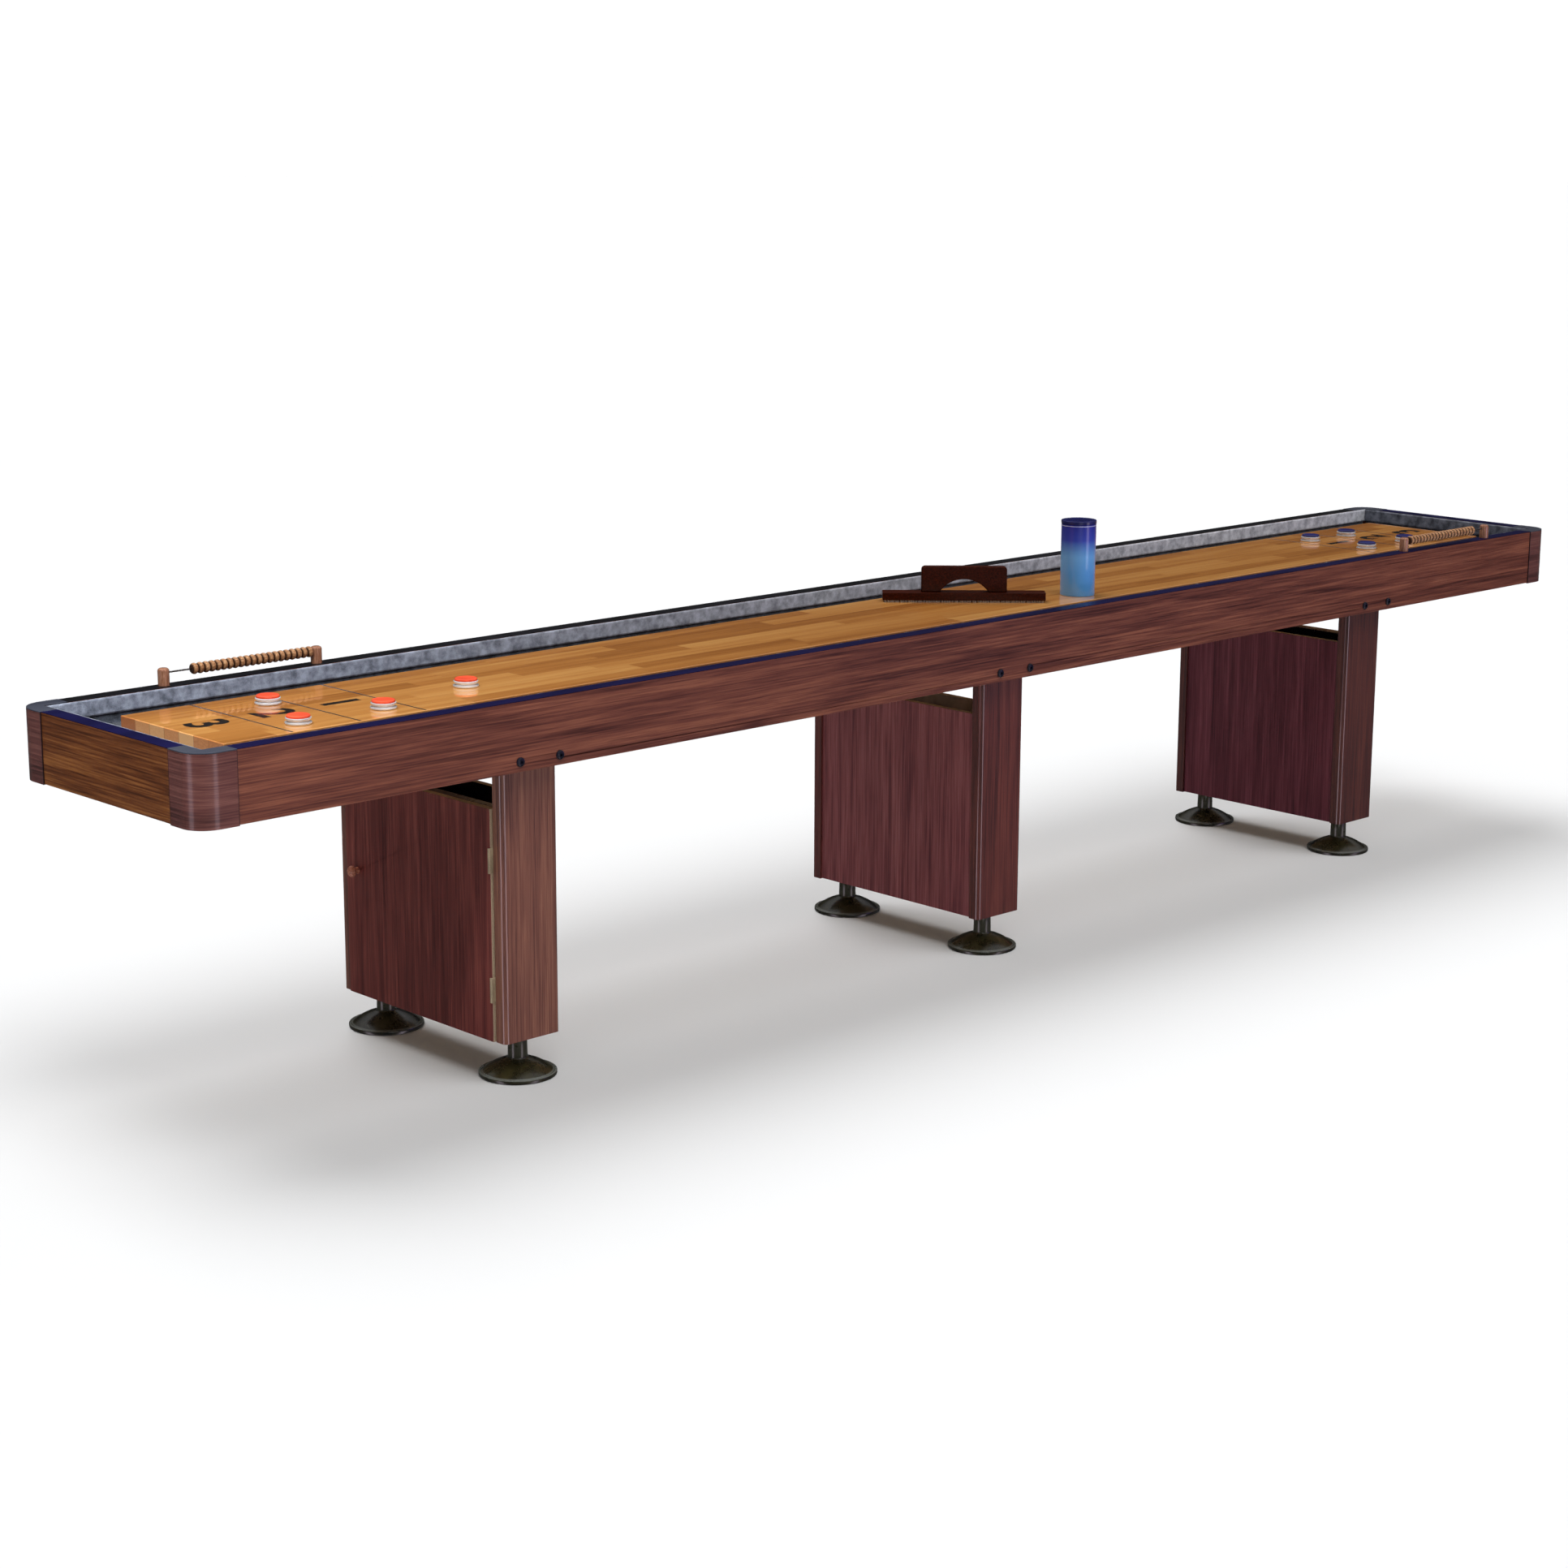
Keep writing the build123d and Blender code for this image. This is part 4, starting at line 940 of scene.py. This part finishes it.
CAN_CENTRE = (0.443, -0.099, BOARD_TOP)
CAN_RADIUS = 0.041
can_profile = [(0, 0.0008), (0.0375, 0.0008), (0.0385, 0.0), (0.0400, 0.0)]
can_profile += arc((0.0398, 0.0012), 0.0012, -90, 0, 4)
can_profile += [(CAN_RADIUS, 0.1660), (CAN_RADIUS, 0.1690), (0.0395, LID_LOW), (0, LID_LOW)]
can = Piece("canister_tube")
can.turn(can_profile, CAN_CENTRE, segments=128)
can.make([canister_blue], "canister", "canister_blue", "wax_canister")
line_profile = [(0.0405, 0.1655), (0.04115, 0.1656), (0.04115, 0.1668), (0.0405, 0.1669)]
line = Piece("canister_line")
line.turn(line_profile, CAN_CENTRE, segments=128)
line.make([label_white], "canister", "canister_blue")
lid_profile = [(0, 0.1699), (0.0408, 0.1699), (0.0416, 0.1703), (0.0416, 0.1762)]
lid_profile += arc((0.0401, 0.1765), 0.0015, 0, 90, 6) + [(0.0385, 0.1780), (0.0378, 0.1772), (0, 0.1772)]
lid = Piece("canister_lid")
lid.turn(lid_profile, CAN_CENTRE, segments=128)
lid.make([lid_navy], "canister", "canister_blue")

# ---------------------------------------------------------------- door knobs

KNOB_DEEP = 0.022
knob_profile = [(0, 0), (0.007, 0), (0.006, 0.008)]
knob_profile += three_point((0.006, 0.008), (0.0105, 0.0105), (0.012, 0.014), 8)[1:]
knob_profile += three_point((0.012, 0.014), (0.0094, 0.0194), (0.003, KNOB_DEEP), 10)[1:]
knob_profile += [(0, KNOB_DEEP)]
for end, turn_way in (("left", -1), ("right", 1)):
    low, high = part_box(f"door_knob_{end}")
    face_x = low.x + KNOB_DEEP if turn_way < 0 else high.x - KNOB_DEEP
    knob = Piece(f"door_knob_turned_{end}")
    centre = (face_x, (low.y + high.y) / 2, (low.z + high.z) / 2)
    knob.turn([(r, turn_way * h) for r, h in knob_profile][::turn_way], centre, 0, 48)
    knob.make([knob_wood], f"door_{end}", "turned_wood", f"door_knob_{end}")

# ---------------------------------------------------------------- floor, light and backdrop

white = Shader("studio_floor")
pale = white.noise(white.place, 0.6, 2, 0.5)
white.surface(Base_Color=white.mix(pale, (0.738, 0.745, 0.751, 1), (0.752, 0.759, 0.765, 1)), Roughness=0.9)
white.surface(Specular_IOR_Level=0.0)
FLOOR_REACH = 80
ground = Piece("studio_floor")
ground_points = []
for x, y in ((-1, -1), (1, -1), (1, 1), (-1, 1)):
    ground_points.append((x * FLOOR_REACH, y * FLOOR_REACH, -0.0005))
ground.add(ground_points, [(0, 1, 2, 3)])
glow = Shader("studio_backdrop")
haze = glow.noise(glow.place, 0.01, 1, 0.5)
glow.surface(Base_Color=(0, 0, 0, 1), Roughness=1.0, Emission_Color=(1, 1, 1, 1))
glow.surface(Emission_Strength=glow.spread(haze, 0.0, 1.0, 1.1, 1.2))
WALL_RADIUS = 70
WALL_SIDES = 48
wall = Piece("studio_backdrop")
wall_points = []
wall_faces = []
for step in range(WALL_SIDES):
    angle = 2 * math.pi * step / WALL_SIDES
    wall_points += [(WALL_RADIUS * math.cos(angle), WALL_RADIUS * math.sin(angle), z) for z in (-1, 40)]
    after = 2 * ((step + 1) % WALL_SIDES)
    wall_faces.append((2 * step, 2 * step + 1, after + 1, after))
wall.add(wall_points, wall_faces)
for piece, material in ((ground, white.material), (wall, glow.material)):
    mesh = bpy.data.meshes.new(piece.name)
    mesh.from_pydata(piece.points, [], piece.faces)
    mesh.materials.append(material)
    stage = bpy.data.objects.new(piece.name, mesh)
    scene.collection.objects.link(stage)
    stage.visible_glossy = False
    if piece is wall:
        stage.visible_diffuse = False
        stage.visible_shadow = False
    else:
        floor_stage = stage

world = bpy.data.worlds.new("studio")
scene.world = world
world.use_nodes = True
sky = world.node_tree


def sky_node(kind, inputs, **settings):
    node = sky.nodes.new("ShaderNode" + kind)
    for key, value in settings.items():
        setattr(node, key, value)
    for key, value in inputs.items():
        if isinstance(value, bpy.types.NodeSocket):
            sky.links.new(value, node.inputs[key])
        else:
            node.inputs[key].default_value = value
    return node.outputs


def sky_calc(operation, *values):
    return sky_node("Math", dict(enumerate(values)), operation=operation)[0]


direction = sky.nodes.new("ShaderNodeTexCoord").outputs["Generated"]
east, north, height = sky_node("SeparateXYZ", {0: direction})
tones = sky.nodes.new("ShaderNodeValToRGB")
sky.links.new(sky_node("MapRange", {0: height, 1: -1.0})[0], tones.inputs[0])
# Brightness by height, from straight down to straight up
SKY = ((-1.0, 0.22), (-0.05, 0.12), (0.02, 0.012), (0.28, 0.02), (0.50, 0.45), (0.75, 1.0), (1.0, 1.0))
stops = tones.color_ramp.elements
for position, value in SKY[1:-1]:
    stops.new((position + 1) / 2).color = (value, value, value, 1)
for stop, (position, value) in zip((stops[0], stops[-1]), (SKY[0], SKY[-1])):
    stop.color = (value, value, value, 1)
# Tall bright panels low down, which only mirror-like surfaces meet
bearing = sky_calc("ARCTAN2", north, east)
glow_sum = 0.0
for angle, width in ((176, 12), (-76, 11)):
    gap = sky_calc("SUBTRACT", bearing, math.radians(angle))
    gap = sky_calc("ABSOLUTE", sky_calc("WRAP", gap, math.pi, -math.pi))
    side = math.radians(width)
    glow_sum = sky_calc("ADD", glow_sum, sky_node("MapRange", {0: gap, 1: side, 2: 0.6 * side})[0])
low_down = sky_node("MapRange", {0: height, 1: 0.0, 2: -0.06})[0]
panel_glow = sky_calc("MULTIPLY", sky_calc("MULTIPLY", glow_sum, low_down), 3.5)
green_glow = sky_calc("MULTIPLY", panel_glow, 0.86)
panel_colour = sky_node("CombineXYZ", {0: panel_glow, 1: green_glow, 2: panel_glow})[0]
lit = sky_node("VectorMath", {0: tones.outputs[0], 1: panel_colour}, operation="ADD")[0]
sky.links.new(lit, sky.nodes["Background"].inputs["Color"])
sky.nodes["Background"].inputs["Strength"].default_value = 0.52
# The small lights touch only the table, so the floor keeps one even soft shadow
beside_the_floor = bpy.data.collections.new("beside_the_floor")
beside_the_floor.objects.link(floor_stage)
beside_the_floor.collection_objects[0].light_linking.link_state = "EXCLUDE"


def area_light(name, place, aim, size, power, glossy=True, colour=(1, 1, 1), spread=180):
    """A soft box that leaves the floor alone."""
    light = bpy.data.lights.new(name, "AREA")
    light.shape = "RECTANGLE"
    light.size, light.size_y = size
    light.energy = power
    light.color = colour
    light.spread = math.radians(spread)
    obj = bpy.data.objects.new(name, light)
    obj.location = place
    obj.rotation_euler = (Vector(aim) - Vector(place)).to_track_quat("-Z", "Y").to_euler()
    obj.visible_glossy = glossy
    obj.light_linking.receiver_collection = beside_the_floor
    scene.collection.objects.link(obj)


def broad_sun(name, direction, strength, spread):
    """A sun wide enough for the studio's soft shadow."""
    light = bpy.data.lights.new(name, "SUN")
    light.energy = strength
    light.angle = math.radians(spread)
    obj = bpy.data.objects.new(name, light)
    obj.rotation_euler = Vector(direction).to_track_quat("-Z", "Y").to_euler()
    obj.visible_glossy = False
    scene.collection.objects.link(obj)


area_light("front_fill", (-2.4, -4.2, 1.0), (-0.9, 0, 0.5), (2.2, 1.2), 13)
area_light("near_top", (-2.9, -0.9, 3.0), (-1.9, 0, 0.75), (0.8, 0.8), 6, False, (0.85, 0.94, 1.0), 50)
area_light("right_tint", (3.2, -4.2, 0.9), (1.0, 0, 0.5), (1.6, 1.0), 13, True, (0.45, 0.25, 1.0))
broad_sun("sun_behind", (-0.02, -0.54, -1), 2.05, 40)
broad_sun("sun_front", (-0.02, 0.5, -1), 1.45, 40)
